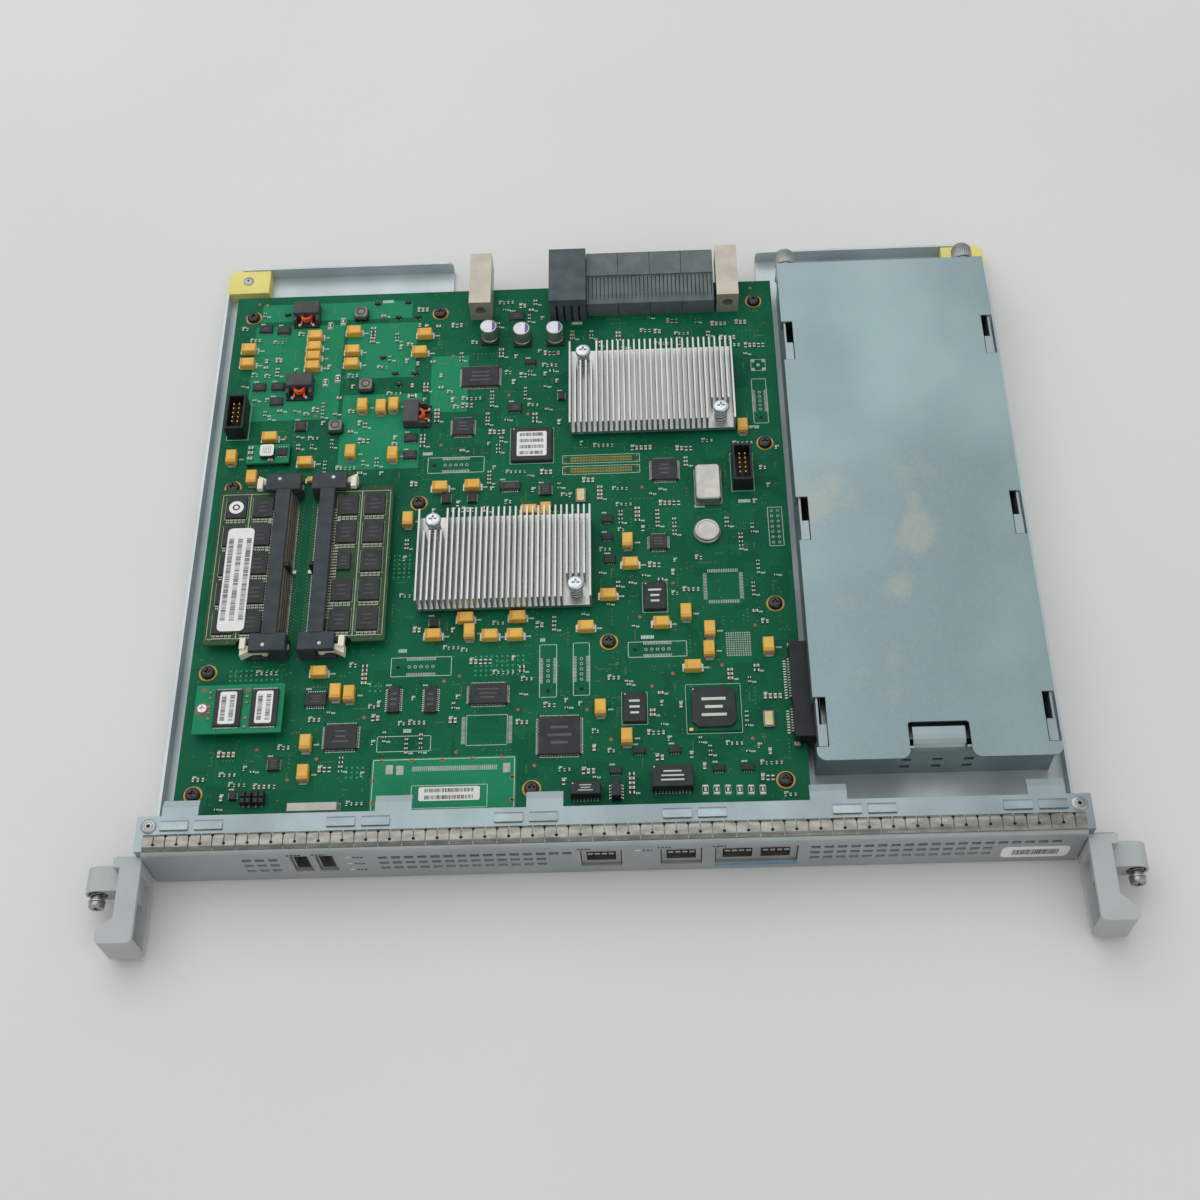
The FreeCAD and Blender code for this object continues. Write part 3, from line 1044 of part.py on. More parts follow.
def build_drive_cover():
    """Fold the drive cover with its skirts, hook slots and finger cut-out."""
    piece = Piece()
    left, right = "box_left - cover_overhang", "box_left + box_width + cover_overhang"
    front, rear = behind("cover_front_back"), behind("box_rear_back + cover_sheet")
    top = "box_top"
    piece.pad("XY_Plane", [rectangle(left, front, right, rear)], "cover_sheet", ("0", "0", top))
    start = behind("hook_front_back")
    skirts = [rectangle(left, start, f"{left} + cover_sheet", rear),
              rectangle(f"{right} - cover_sheet", start, right, rear)]
    piece.pad("XY_Plane", skirts, "cover_skirt", ("0", "0", f"{top} - cover_skirt"))
    back = rectangle(left, behind("box_rear_back"), right, rear)
    piece.pad("XY_Plane", [back], "cover_rear_skirt", ("0", "0", f"{top} - cover_rear_skirt"))
    finger = rectangle("box_vent_x - cover_notch_width / 2", f"{front} - 1",
                       "box_vent_x + cover_notch_width / 2", f"{front} + cover_notch_deep")
    piece.pocket("XY_Plane", [finger], "3 * cover_sheet", ("0", "0", f"{top} + 2 * cover_sheet"))
    middle, front_y = size("box_vent_x"), panel_line() + size("cover_front_back")
    inner_y = front_y + size("cover_notch_deep")
    piece.soften("cover_corner / 3", lambda at, way: abs(way.z) > 0.9 and near(at.y, inner_y)
                 and abs(at.x - middle) < size("cover_notch_width"))
    piece.soften("cover_corner", lambda at, way: abs(way.z) > 0.9 and near(at.y, front_y))
    notches = []
    for hook in HOOKS:
        low, high = behind(hook), behind(f"{hook} + hook_long")
        notches.append(rectangle(f"{left} - 1", low, f"{left} + hook_wide", high))
        notches.append(rectangle(f"{right} - hook_wide", low, f"{right} + 1", high))
    piece.pocket("XY_Plane", notches)
    holes = [(x, "knob_z", "knob_shank_radius + knob_hole_gap") for x in ("knob_left_x", "knob_right_x")]
    piece.pocket("XZ_Plane", holes, "3 * cover_sheet", ("0", "0", f"-({rear} - 2 * cover_sheet)"))
    node(piece.body, "drive_cover")
    for name in ("left", "right"):
        knob = Piece()
        x, start = f"knob_{name}_x", f"{rear} + pivot_gap"
        collar = ring(x, "knob_z", "knob_collar_radius", 16)
        knob.pad("XZ_Plane", [collar], "knob_collar", ("0", "0", f"-({start} + knob_collar)"))
        outer = ring(x, "knob_z", "knob_radius", 40)
        inner = ring(x, "knob_z", "knob_radius - knurl_depth", 40)
        knurl = [(outer if index % 4 < 2 else inner)[index] for index in range(40)]
        knob.pad("XZ_Plane", [knurl], "knob_length - knob_dome - knob_collar",
                 ("0", "0", f"-({start} + knob_length - knob_dome)"))
        cap = ring(x, "knob_z", "knob_radius - knob_dome / 2", 16)
        knob.pad("XZ_Plane", [cap], "knob_dome", ("0", "0", f"-({start} + knob_length)"))
        shank = (x, "knob_z", "knob_shank_radius")
        knob.pad("XZ_Plane", [shank], "knob_shank", ("0", "0", f"-({start})"), reverse=True)
        node(knob.body, f"{name}_thumbscrew")


def finish():
    """Recompute the module, check every sub-part and write it."""
    DOC.recompute()
    os.makedirs("parts", exist_ok=True)
    faulty = [item.Label for item in DOC.Objects if "Invalid" in item.State or "Error" in item.State]
    if faulty:
        raise RuntimeError("faulty objects: " + ", ".join(faulty))
    whole = FreeCAD.BoundBox()
    for label, item in NODES:
        shape = item.Shape
        if shape.isNull() or not shape.isValid() or shape.Volume <= 0:
            raise RuntimeError(f"{label} has no valid solid")
        whole.add(shape.optimalBoundingBox(False))
        shape.exportStep(f"parts/{label}.step")
    print(f"{len(NODES)} sub-parts, {whole.XLength:.2f} x {whole.YLength:.2f} x {whole.ZLength:.2f} mm")
    print(f"from {whole.XMin:.3f}, {whole.YMin:.3f}, {whole.ZMin:.3f}")


build_tray()
build_bracket()
build_panel()
build_gasket()
build_rivets()
build_handles()
build_captive_screws()
build_guides()
build_board()
build_rear_connectors()
build_heat_sinks()
build_memory_sockets()
build_memory_modules()
build_latches()
build_flash()
build_packages()
build_capacitors()
build_power_parts()
build_headers()
build_timing()
build_ports()
build_drive_box()
build_drive_cover()
finish()
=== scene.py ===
"""Dresses the router processor module: sheet metal, board, memory, heat sinks, ports and fasteners."""

import functools
import json
import logging
import math
from dataclasses import dataclass, replace
from enum import Enum
from typing import Any, Iterable, Sequence

import bmesh
import bpy
import numpy as np
from mathutils import Matrix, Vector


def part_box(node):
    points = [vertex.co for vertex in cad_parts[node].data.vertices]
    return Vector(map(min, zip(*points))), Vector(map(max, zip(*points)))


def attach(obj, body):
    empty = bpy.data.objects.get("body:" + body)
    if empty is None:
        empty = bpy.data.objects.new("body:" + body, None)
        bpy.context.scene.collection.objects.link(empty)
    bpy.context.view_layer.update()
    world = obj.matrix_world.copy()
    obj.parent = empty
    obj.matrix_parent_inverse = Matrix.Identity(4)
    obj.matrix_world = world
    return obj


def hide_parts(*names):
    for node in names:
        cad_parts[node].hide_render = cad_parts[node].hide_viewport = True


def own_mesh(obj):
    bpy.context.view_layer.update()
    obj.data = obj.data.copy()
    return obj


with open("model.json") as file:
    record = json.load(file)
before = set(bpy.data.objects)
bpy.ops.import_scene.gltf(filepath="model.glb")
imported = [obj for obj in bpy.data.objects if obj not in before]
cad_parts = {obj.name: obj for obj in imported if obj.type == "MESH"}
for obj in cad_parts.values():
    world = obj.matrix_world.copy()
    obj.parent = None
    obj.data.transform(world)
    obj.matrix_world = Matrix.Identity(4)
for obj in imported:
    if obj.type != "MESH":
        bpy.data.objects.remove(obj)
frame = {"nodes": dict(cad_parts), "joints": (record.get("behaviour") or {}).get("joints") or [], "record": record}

Array = np.ndarray
Profile = Sequence[tuple[float, float]]
LOG = logging.getLogger("router_module")
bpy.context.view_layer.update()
MM = 0.001
UP, FLAT = np.array([0.0, 0.0, 1.0]), np.array([1.0, 1.0, 0.0])


def span(node: str) -> tuple[Array, Array]:
    """Return a CAD node's lowest and highest corners in millimetres."""
    low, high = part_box(node)
    return np.array(low) / MM, np.array(high) / MM


# The panel's rear face, from which depths are measured, and the board. Places on the board are (X, depth).
LINE = span("front_panel")[1][1]
BOARD_LOW, BOARD_HIGH = span("main_board")
BOARD_TOP = BOARD_HIGH[2]
PATCH = (-100.6, 22.0, -39.6, 46.6)
CORNER_SCREW = (72.4, 32.1)


def islands(node: str) -> Array:
    """Find the box of each separate solid of a CAD node.

    Corners that agree to a micrometre share a number. Each triangle hands its lowest number to its
    three corners, again and again, until nothing changes; corners with one number are one solid.

    Args:
        node: name of the CAD node

    Returns:
        array of shape (solids, 2, 3) with the lowest and highest corners in millimetres
    """
    mesh = frame["nodes"][node].data
    points = np.empty(len(mesh.vertices) * 3)
    mesh.vertices.foreach_get("co", points)
    points = points.reshape(-1, 3) / MM
    corners = np.empty(len(mesh.loops), dtype=int)
    mesh.loops.foreach_get("vertex_index", corners)
    shared = np.unique(np.round(points, 3), axis=0, return_inverse=True)[1].ravel()
    triangles = shared[corners].reshape(-1, 3)
    label, before = np.arange(shared.max() + 1), None
    while not np.array_equal(label, before):
        before, label = label, label.copy()
        np.minimum.at(label, triangles, before[triangles].min(axis=1)[:, None])
        label = label[label]
    names, solid = np.unique(label[shared], return_inverse=True)
    boxes = np.tile([[[np.inf]], [[-np.inf]]], (1, len(names), 3))
    np.minimum.at(boxes[0], solid.ravel(), points)
    np.maximum.at(boxes[1], solid.ravel(), points)
    return boxes[:, np.lexsort((boxes[0, :, 1], boxes[0, :, 0]))].swapaxes(0, 1)


def chips_of(*nodes: str) -> Array:
    """Return the boxes of the solids of several CAD nodes in one array."""
    return np.concatenate([islands(node) for node in nodes])


def spread(x: Any, y: Any, z: Any) -> Array:
    """Return points from coordinates, each a number or an array."""
    return np.stack(np.broadcast_arrays(x, y, z), axis=-1).astype(float)


def lattice(x: Any, y: Any) -> Array:
    """Return all pairs of two runs of numbers, the first running fastest."""
    return np.stack(np.meshgrid(x, y), axis=-1).reshape(-1, 2)


def plan(flat: Array, height: Any) -> Array:
    """Return the points of a plan, which have X and Y only, at a height."""
    return spread(flat[..., 0], flat[..., 1], height)


def at_height(points: Array, height: Any) -> Array:
    """Return points moved to a height."""
    return points * FLAT + UP * height


def foot(low: Array, high: Array) -> Array:
    """Return the middle of a box's underside."""
    return at_height((low + high) / 2, low[2])


def linear(tint: int) -> tuple[float, float, float, float]:
    """Turn a display colour into linear light.

    Args:
        tint: red, green and blue as one hexadecimal number

    Returns:
        red, green and blue from 0 to 1, and full cover
    """
    share = np.array([tint >> 16, tint >> 8 & 255, tint & 255]) / 255
    light = np.where(share <= 0.04045, share / 12.92, ((share + 0.055) / 1.055) ** 2.4)
    return (*light.tolist(), 1.0)


class Facing(Enum):
    """The way that the axis of a turned piece points; rows give the piece's own x, y and z."""

    UP = ((1, 0, 0), (0, 1, 0), (0, 0, 1))
    FRONT = ((1, 0, 0), (0, 0, 1), (0, -1, 0))
    REAR = ((-1, 0, 0), (0, 0, 1), (0, 1, 0))

    def turn(self, points: Array) -> Array:
        """Return points of the piece's own axes in the module's axes."""
        return points @ np.array(self.value, float)


class Pinout(Enum):
    """The sides of a package that carry leads."""

    ALL = "all four sides"
    LONG = "the two long sides"


class Value:
    """A number that a material works out at each point, with the usual signs of arithmetic."""

    def __init__(self, shader: "Shader", socket: bpy.types.NodeSocket) -> None:
        """Keep the material and the socket that gives the number."""
        self.shader, self.socket = shader, socket

    def math(self, operation: str, *numbers: Any) -> "Value":
        """Return the result of a Math node whose inputs are the numbers in their order."""
        node = self.shader.node("ShaderNodeMath", {"operation": operation}, dict(enumerate(numbers)))
        return Value(self.shader, node.outputs[0])

    def __add__(self, other: Any) -> "Value":
        """Return the sum."""
        return self.math("ADD", self, other)

    def __radd__(self, other: Any) -> "Value":
        """Return the sum with a number on the left."""
        return self.math("ADD", other, self)

    def __sub__(self, other: Any) -> "Value":
        """Return the difference."""
        return self.math("SUBTRACT", self, other)

    def __rsub__(self, other: Any) -> "Value":
        """Return the difference from a number on the left."""
        return self.math("SUBTRACT", other, self)

    def __mul__(self, other: Any) -> "Value":
        """Return the product."""
        return self.math("MULTIPLY", self, other)

    def __rmul__(self, other: Any) -> "Value":
        """Return the product with a number on the left."""
        return self.math("MULTIPLY", other, self)

    def __gt__(self, other: Any) -> "Value":
        """Return 1 where this number is the larger and 0 elsewhere."""
        return self.math("GREATER_THAN", self, other)

    def __lt__(self, other: Any) -> "Value":
        """Return 1 where this number is the smaller and 0 elsewhere."""
        return self.math("LESS_THAN", self, other)

    def fraction(self) -> "Value":
        """Return what is left after the whole number is taken away."""
        return self.math("FRACT", self)

    def between(self, low: float, high: float) -> "Value":
        """Return a smooth step that is 0 below low and 1 above high."""
        kind, sockets = {"interpolation_type": "SMOOTHSTEP"}, {0: self, 1: low, 2: high}
        return Value(self.shader, self.shader.node("ShaderNodeMapRange", kind, sockets).outputs[0])


class Shader:
    """The node tree of a material or of the world."""

    def __init__(self, owner: bpy.types.Material | bpy.types.World) -> None:
        """Empty a node tree.

        Args:
            owner: the material or the world that has it
        """
        owner.use_nodes = True
        self.owner, self.tree = owner, owner.node_tree
        self.tree.nodes.clear()

    def node(self, kind: str, settings: dict[str, Any] | None = None,
             sockets: dict[int | str, Any] | None = None) -> bpy.types.Node:
        """Add a node.

        Args:
            kind: the node's type
            settings: properties of the node, set first
            sockets: values or links of its inputs, by name or number

        Returns:
            the node
        """
        item = self.tree.nodes.new(kind)
        for key, value in (settings or {}).items():
            setattr(item, key, value)
        for key, value in (sockets or {}).items():
            source = value.socket if isinstance(value, Value) else value
            if isinstance(source, bpy.types.NodeSocket):
                self.tree.links.new(source, item.inputs[key])
            else:
                item.inputs[key].default_value = source
        return item

    def place(self, stretch: Sequence[float] = (1.0, 1.0, 1.0)) -> Value:
        """Return the point on the piece in metres, with each axis stretched by a factor."""
        point = self.node("ShaderNodeTexCoord").outputs["Object"]
        return Value(self, self.node("ShaderNodeMapping", None,
                                     {"Vector": point, "Scale": stretch}).outputs[0])

    def axes(self, place: Value) -> list[Value]:
        """Return the three coordinates of a point."""
        return [Value(self, socket)
                for socket in self.node("ShaderNodeSeparateXYZ", None, {0: place}).outputs]

    def noise(self, place: Value, scale: float, detail: float = 2.0) -> Value:
        """Return soft noise from 0 to 1 with so many patches in a metre."""
        sockets = {"Vector": place, "Scale": scale, "Detail": detail}
        return Value(self, self.node("ShaderNodeTexNoise", None, sockets).outputs[0])

    def cells(self, place: Value, scale: float, distance: str = "EUCLIDEAN") -> tuple[Value, Value]:
        """Return the distance to the nearest of scattered points, and a random number of its own."""
        node = self.node("ShaderNodeTexVoronoi", {"distance": distance}, {"Vector": place, "Scale": scale})
        return Value(self, node.outputs[0]), self.axes(Value(self, node.outputs[1]))[0]

    def mix(self, factor: Any, first: Any, second: Any) -> Value:
        """Return a blend of two colours."""
        node = self.node("ShaderNodeMix", {"data_type": "RGBA"}, {0: factor, 6: first, 7: second})
        return Value(self, node.outputs[2])

    def bump(self, height: Value, strength: float, depth: float) -> bpy.types.NodeSocket:
        """Return the normal of a relief of the given depth in metres."""
        sockets = {"Strength": strength, "Distance": depth, "Height": height}
        return self.node("ShaderNodeBump", None, sockets).outputs[0]

    def surface(self, sockets: dict[str, Any]) -> bpy.types.Material:
        """Close the material with a Principled surface.

        Args:
            sockets: values or links of the surface's inputs, by name

        Returns:
            the material
        """
        skin = self.node("ShaderNodeBsdfPrincipled", None, sockets)
        self.node("ShaderNodeOutputMaterial", None, {0: skin.outputs[0]})
        return self.owner


@dataclass(frozen=True)
class Finish:
    """A finish with soft patches of two colours and a fine grain in its gloss and relief."""

    name: str
    tint: int
    shade: int
    roughness: float = 0.45
    metallic: float = 0.0
    patches: float = 60.0
    grain: float = 2500.0
    relief: float = 0.15
    brushed: tuple[float, float, float] = (1.0, 1.0, 1.0)
    gloss: float = 0.3

    def colour(self, shader: Shader, place: Value) -> Value:
        """Blend the two colours by soft patches with a touch of grain.

        Args:
            shader: the material's node tree
            place: the point on the piece

        Returns:
            the colour
        """
        patch = shader.noise(place, self.patches, 3.0).between(0.3, 0.7)
        speck = shader.noise(place, self.grain, 1.0)
        return shader.mix(patch * 0.75 + speck * 0.25, linear(self.tint), linear(self.shade))

    def build(self) -> bpy.types.Material:
        """Make the material.

        Returns:
            the finish as a material
        """
        shader = Shader(bpy.data.materials.new(self.name))
        place = shader.place(self.brushed)
        grain = shader.noise(place, self.grain, 3.0)
        return shader.surface({
            "Base Color": self.colour(shader, place),
            "Roughness": grain * 0.16 + (self.roughness - 0.08),
            "Metallic": self.metallic,
            "Specular IOR Level": self.gloss,
            "Normal": shader.bump(grain, self.relief, 0.0001),
        })


@dataclass(frozen=True)
class CloudedZinc(Finish):
    """Zinc plating with drifting cool and warm clouds and a faint spangle."""

    stain: int = 0xC4BEAC
    cover: float = 0.6

    def colour(self, shader: Shader, place: Value) -> Value:
        """Lay warm stains over the plating where a wide noise is high.

        Args:
            shader: the material's node tree
            place: the point on the piece

        Returns:
            the colour
        """
        base = super().colour(shader, place)
        stain = shader.noise(place, 24.0, 2.0).between(self.cover, self.cover + 0.12)
        _, spangle = shader.cells(place, 900.0)
        return shader.mix(stain * 0.3 + (spangle - 0.5) * 0.14, base, linear(self.stain))


@dataclass(frozen=True)
class SolderMask(Finish):
    """Solder mask over copper: pours, runs of traces and small vias show through it."""

    pour: int = 0x1C7C56
    via: int = 0x848042

    def colour(self, shader: Shader, place: Value) -> Value:
        """Lay the mask over copper.

        Square cells pick where a pour lies and which way the traces run. Traces are stripes of the
        fractional part of a coordinate, and vias are small discs round scattered points.

        Args:
            shader: the material's node tree
            place: the point on the piece

        Returns:
            the colour
        """
        base = super().colour(shader, place)
        across, along, _ = shader.axes(place)
        _, pick = shader.cells(place, 55.0, "CHEBYCHEV")
        _, way = shader.cells(place, 90.0, "CHEBYCHEV")
        slanted = ((across + along) * 900.0).fraction() < 0.42
        upright = (across * 1250.0).fraction() < 0.42
        level = (along * 1250.0).fraction() < 0.42
        runs = upright * (way < 0.3) + level * (way > 0.72) + slanted * ((way > 0.3) * (way < 0.45))
        masked = shader.mix((pick > 0.66) * 0.25 + runs * 0.35 * (pick < 0.66), base, linear(self.pour))
        near, chance = shader.cells(place, 420.0)
        return shader.mix((near < 0.11) * (chance > 0.45) * 0.75, masked, linear(self.via))


@dataclass(frozen=True)
class Lens(Finish):
    """A clear moulded light with a faint glow of its own colour."""

    def build(self) -> bpy.types.Material:
        """Make the material.

        Returns:
            the clear finish as a material
        """
        shader = Shader(bpy.data.materials.new(self.name))
        place = shader.place()
        colour = self.colour(shader, place)
        return shader.surface({
            "Base Color": colour, "Roughness": shader.noise(place, self.grain) * 0.1 + 0.12,
            "Transmission Weight": 0.35, "Emission Color": colour, "Emission Strength": 0.15,
        })


@functools.lru_cache(maxsize=None)
def material(finish: Finish) -> bpy.types.Material:
    """Return a finish's material, made once."""
    return finish.build()


# Families of finishes that share a grain: prints, moulded plastics, plated metal and the smallest parts.
printed = functools.partial(Finish, roughness=0.6, patches=300.0, grain=5000.0, relief=0.1)
moulded = functools.partial(Finish, roughness=0.45, patches=150.0, grain=3500.0, relief=0.2, gloss=0.2)
plated = functools.partial(Finish, patches=300.0, grain=4000.0, relief=0.1)
tiny = functools.partial(Finish, patches=400.0, grain=5000.0, relief=0.1)
ZINC = CloudedZinc("zinc_sheet", 0xCAD5D8, 0xB0BBBF, 0.38, 0.4, 30.0, 2200.0, 0.03, (1.0, 0.6, 1.0),
                   stain=0xBAB8AE, cover=0.64)
BRACKET = CloudedZinc("bracket_zinc", 0xA0B0B3, 0x849295, 0.36, 0.6, 30.0, 2200.0, 0.03, (1.0, 0.6, 1.0),
                      stain=0xAAA89E, cover=0.64)
COVER = CloudedZinc("cover_zinc", 0x9AB0B3, 0x7B8F93, 0.34, 0.65, 11.0, 2200.0, 0.05, (1.0, 0.8, 1.0),
                    stain=0xBAB09A, cover=0.6)
LANCE = Finish("lance_zinc", 0x9EACAF, 0x808D90, 0.24, 0.9, 60.0, 1800.0, 0.05)
PANEL = Finish("panel_grey", 0xA6ABAC, 0x989EA0, 0.42, 0.35, 40.0, 3500.0, 0.12)
HANDLE = Finish("handle_grey", 0xB4B9B8, 0xAAAFAF, 0.5, 0.05, 50.0, 2600.0, 0.2)
NICKEL = Finish("bright_nickel", 0x9A9991, 0x74736D, 0.2, 0.95, 140.0, 1500.0, 0.06, (1.0, 2.5, 1.0))
CHROME = plated("screw_chrome", 0xD8DDE0, 0xBEC4C8, 0.22, 0.7, relief=0.04)
STEEL = plated("steel_screw", 0xB2B3B1, 0x949696, 0.3, 0.95)
YELLOW = Finish("yellow_guide", 0xE7DE88, 0xDCD174, 0.5, 0.0, 80.0, 3000.0)
MASK = SolderMask("board_green", 0x0F5D40, 0x0C5238, 0.45, 0.0, 30.0, 3000.0, 0.05, gloss=0.07)
POUR = SolderMask("board_pour", 0x248861, 0x1E7C57, 0.45, 0.0, 30.0, 3000.0, 0.05, gloss=0.07,
                  pour=0x2C9268, via=0x966838)
MODULE = SolderMask("module_green", 0x2A5034, 0x22422C, 0.42, 0.0, 60.0, 3000.0, 0.05, gloss=0.15,
                    pour=0x4A5C38, via=0xB09656)
OXIDE = Finish("black_screw", 0x1A1B1D, 0x101012, 0.16, 0.2, 200.0, 4000.0, 0.1, gloss=0.6)
POST = Finish("post_steel", 0xA6A49C, 0x8E8D88, 0.35, 0.9, 200.0, 3000.0, 0.1)
CASTING = Finish("block_nickel", 0xC2BCAE, 0xAEA89B, 0.42, 0.5, 120.0, 1500.0, 0.25)
CONNECTOR = moulded("connector_dark", 0x545E62, 0x444D51)
SIGNAL = moulded("signal_slate", 0x6A7476, 0x5A6365)
SOCKET = moulded("socket_slate", 0x3E464A, 0x32393C)
SHROUD = moulded("header_black", 0x262A2C, 0x1B1E20, gloss=0.25)
ALUMINIUM = Finish("sink_aluminium", 0xCACCC8, 0xB4B6B3, 0.36, 0.9, 60.0, 2500.0, 0.1, (6.0, 0.3, 1.0))
PACKAGE = Finish("package_black", 0x343839, 0x282B2C, 0.5, 0.0, 200.0, 5000.0, 0.25, gloss=0.25)
TANTALUM = Finish("tantalum_yellow", 0xE8B856, 0xDCA846, 0.4, 0.0, 160.0, 4000.0)
BAND = Finish("tantalum_band", 0xD4983C, 0xC68832, 0.4, 0.0, 160.0, 4000.0)
CAN = Finish("can_aluminium", 0xB8B7B0, 0xA0A09A, 0.34, 0.85, 150.0, 3000.0, 0.08)
FERRITE = Finish("ferrite_grey", 0x4E5251, 0x404443, 0.55, 0.0, 200.0, 4000.0, 0.3, gloss=0.25)
DRUM = Finish("drum_pewter", 0x82827B, 0x64645F, 0.34, 0.7, 200.0, 3000.0)
COPPER = Finish("winding_copper", 0xDE6834, 0xC05024, 0.3, 0.6, 300.0, 3000.0, 0.1)
IVORY = Finish("latch_ivory", 0xECE6D0, 0xE2DAC2, 0.45, 0.0, 150.0, 3000.0)
KNOB = Finish("knob_grey", 0xAAABAA, 0x8E9091, 0.36, 0.85, 200.0, 3000.0)
DRIVE = Finish("drive_metal", 0xA8AAAC, 0x949699, 0.36, 0.85, 60.0, 2500.0, 0.1)
PORT = Finish("port_metal", 0xB4B5B2, 0x9A9C9B, 0.32, 0.9, 120.0, 3000.0, 0.08)
LIGHT = Lens("light_clear", 0xCEDEBE, 0xBACEA6)
TIN = plated("lead_tin", 0xBEBEB9, 0xA0A19E, 0.34, 0.8)
PAD = plated("bare_pad", 0xACB0A6, 0x92988E, 0.45, 0.4)
GOLD = plated("contact_gold", 0xD6B268, 0xBE964E, 0.32, 0.8, relief=0.08)
RING = plated("ring_brass", 0xBA944E, 0xA07C3C, 0.36, 0.5, relief=0.08)
FINE_GOLD = plated("fine_pad_gold", 0xA48C46, 0x8C7638, 0.45, 0.3, relief=0.08)
CONTACT = plated("socket_contact", 0x968A76, 0x7A7060, 0.45, 0.2)
INK = printed("board_ink", 0xCEDACE, 0xBACABC)
PAPER = Finish("label_paper", 0xEAEBE8, 0xE0E1DD, 0.6, 0.0, 120.0, 4000.0, 0.12)
PRINT = printed("label_print", 0x222326, 0x343538)
ETCH = printed("package_mark", 0x5A5D5C, 0x4C4F4E)
LINE_INK = printed("module_line", 0xB0B8A0, 0x9CA68C)
FAINT = printed("faint_mark", 0x505454, 0x444848, gloss=0.2)
CERAMIC = tiny("chip_ceramic", 0xAC9676, 0x8E7658, 0.45, 0.0, relief=0.15)
RESISTOR = tiny("chip_resistor", 0x282A2C, 0x1C1E1F, 0.4, 0.0, relief=0.15)
HOLE = tiny("hole_dark", 0x161816, 0x0E100E, 0.7)
VIA = tiny("via_copper", 0xAC643C, 0x8E502E, 0.45, 0.3)
VIA_DOT = tiny("via_brass", 0x8C7E42, 0x746C38, 0.45, 0.2)
TENT = plated("tented_via", 0x2C9E6A, 0x248E60)
CRYSTAL = Finish("crystal_lid", 0xCABA92, 0xB4A47C, 0.36, 0.6, 200.0, 3000.0, 0.1)
GREY_PLASTIC = Finish("grey_plastic", 0xC8C7BE, 0xBABAB2, 0.5, 0.0, 150.0, 3000.0)
PURPLE = plated("can_band", 0x7A5CA8, 0x6A4E96)
CAP_TOP = plated("can_top", 0xDEDEE2, 0xCECED4, 0.4, 0.2, relief=0.08)
TAPE = Finish("port_tape", 0x5C96BE, 0x4E86B0, 0.5, 0.0, 150.0, 3000.0, 0.1)
PALE_FLOOR = Finish("pale_floor", 0xDEDEDC, 0xD9D9D7, 0.85, 0.0, 3.0, 200.0, 0.02)


@dataclass
class Skin:
    """Points in millimetres and the quads that join them."""

    points: Array
    quads: Array

    def __add__(self, other: "Skin") -> "Skin":
        """Return both skins as one."""
        return Skin(np.concatenate([self.points, other.points]),
                    np.concatenate([self.quads, other.quads + len(self.points)]))

    def quarter_turn(self, centre: Array) -> "Skin":
        """Return the skin turned by a quarter, front to right, about an upright line through a point."""
        x, y, z = (self.points - centre).T
        return Skin(centre + spread(-y, x, z), self.quads)


def joined(skins: Iterable[Skin]) -> Skin:
    """Return several skins as one."""
    return functools.reduce(lambda first, second: first + second, skins)


def loft(rings: Array, closed: bool = False) -> Skin:
    """Join rings of points into closed skins.

    Side i of section s goes to side i + 1 and to section s + 1, round the ring and along the run.
    The ends are capped with strips of quads from side i to its opposite, side n - 1 - i.

    Args:
        rings: array of shape (skins, sections, sides, 3) with an even number of sides
        closed: the last section meets the first, so there are no ends

    Returns:
        all the skins as one
    """
    count, sections, sides, _ = rings.shape
    index = np.arange(count * sections * sides).reshape(count, sections, sides)
    here = index if closed else index[:, :-1]
    there = np.roll(index, -1, axis=1) if closed else index[:, 1:]
    faces = [np.stack([here, np.roll(here, -1, 2), np.roll(there, -1, 2), there], axis=-1).reshape(-1, 4)]
    if not closed:
        side = np.arange(sides // 2 - 1)
        strip = np.stack([side, side + 1, sides - 2 - side, sides - 1 - side], axis=-1)
        faces += [index[:, 0][:, strip[:, ::-1]].reshape(-1, 4), index[:, -1][:, strip].reshape(-1, 4)]
    return Skin(rings.reshape(-1, 3), np.concatenate(faces))


def rounded(low: Any, high: Any, radius: float, levels: Profile = ((0.0, 0.0), (0.0, 1.0)),
            steps: int = 5) -> Skin:
    """Return blocks whose plan has round corners.

    Corner k is a quarter circle about its own centre, from a quarter turns to k + 1 of them. At each
    level the plan is drawn in by an inset, and the level's height is a share of the block's height.

    Args:
        low: lowest corners, one or an array of them
        high: highest corners
        radius: radius of the upright corners
        levels: (inset, share of the height) from the foot to the top
        steps: points in each corner

    Returns:
        the blocks
    """
    low, high = np.atleast_2d(np.asarray(low, float)), np.atleast_2d(np.asarray(high, float))
    inset, share = np.array(levels, float).T
    turn = (np.arange(4)[:, None] + np.linspace(0, 1, steps)).ravel() * np.pi / 2
    way = np.repeat([[1, 1], [-1, 1], [-1, -1], [1, -1]], steps, axis=0)
    arc = np.stack([np.cos(turn), np.sin(turn)], axis=-1) * np.maximum(radius - inset, 0.02)[:, None, None]
    middle, half = (low + high)[:, None, None, :2] / 2, (high - low)[:, None, None, :2] / 2
    flat = middle + way * (half - radius) + arc
    height = low[:, 2:] + (high - low)[:, 2:] * share
    return loft(plan(flat, height[:, :, None]))


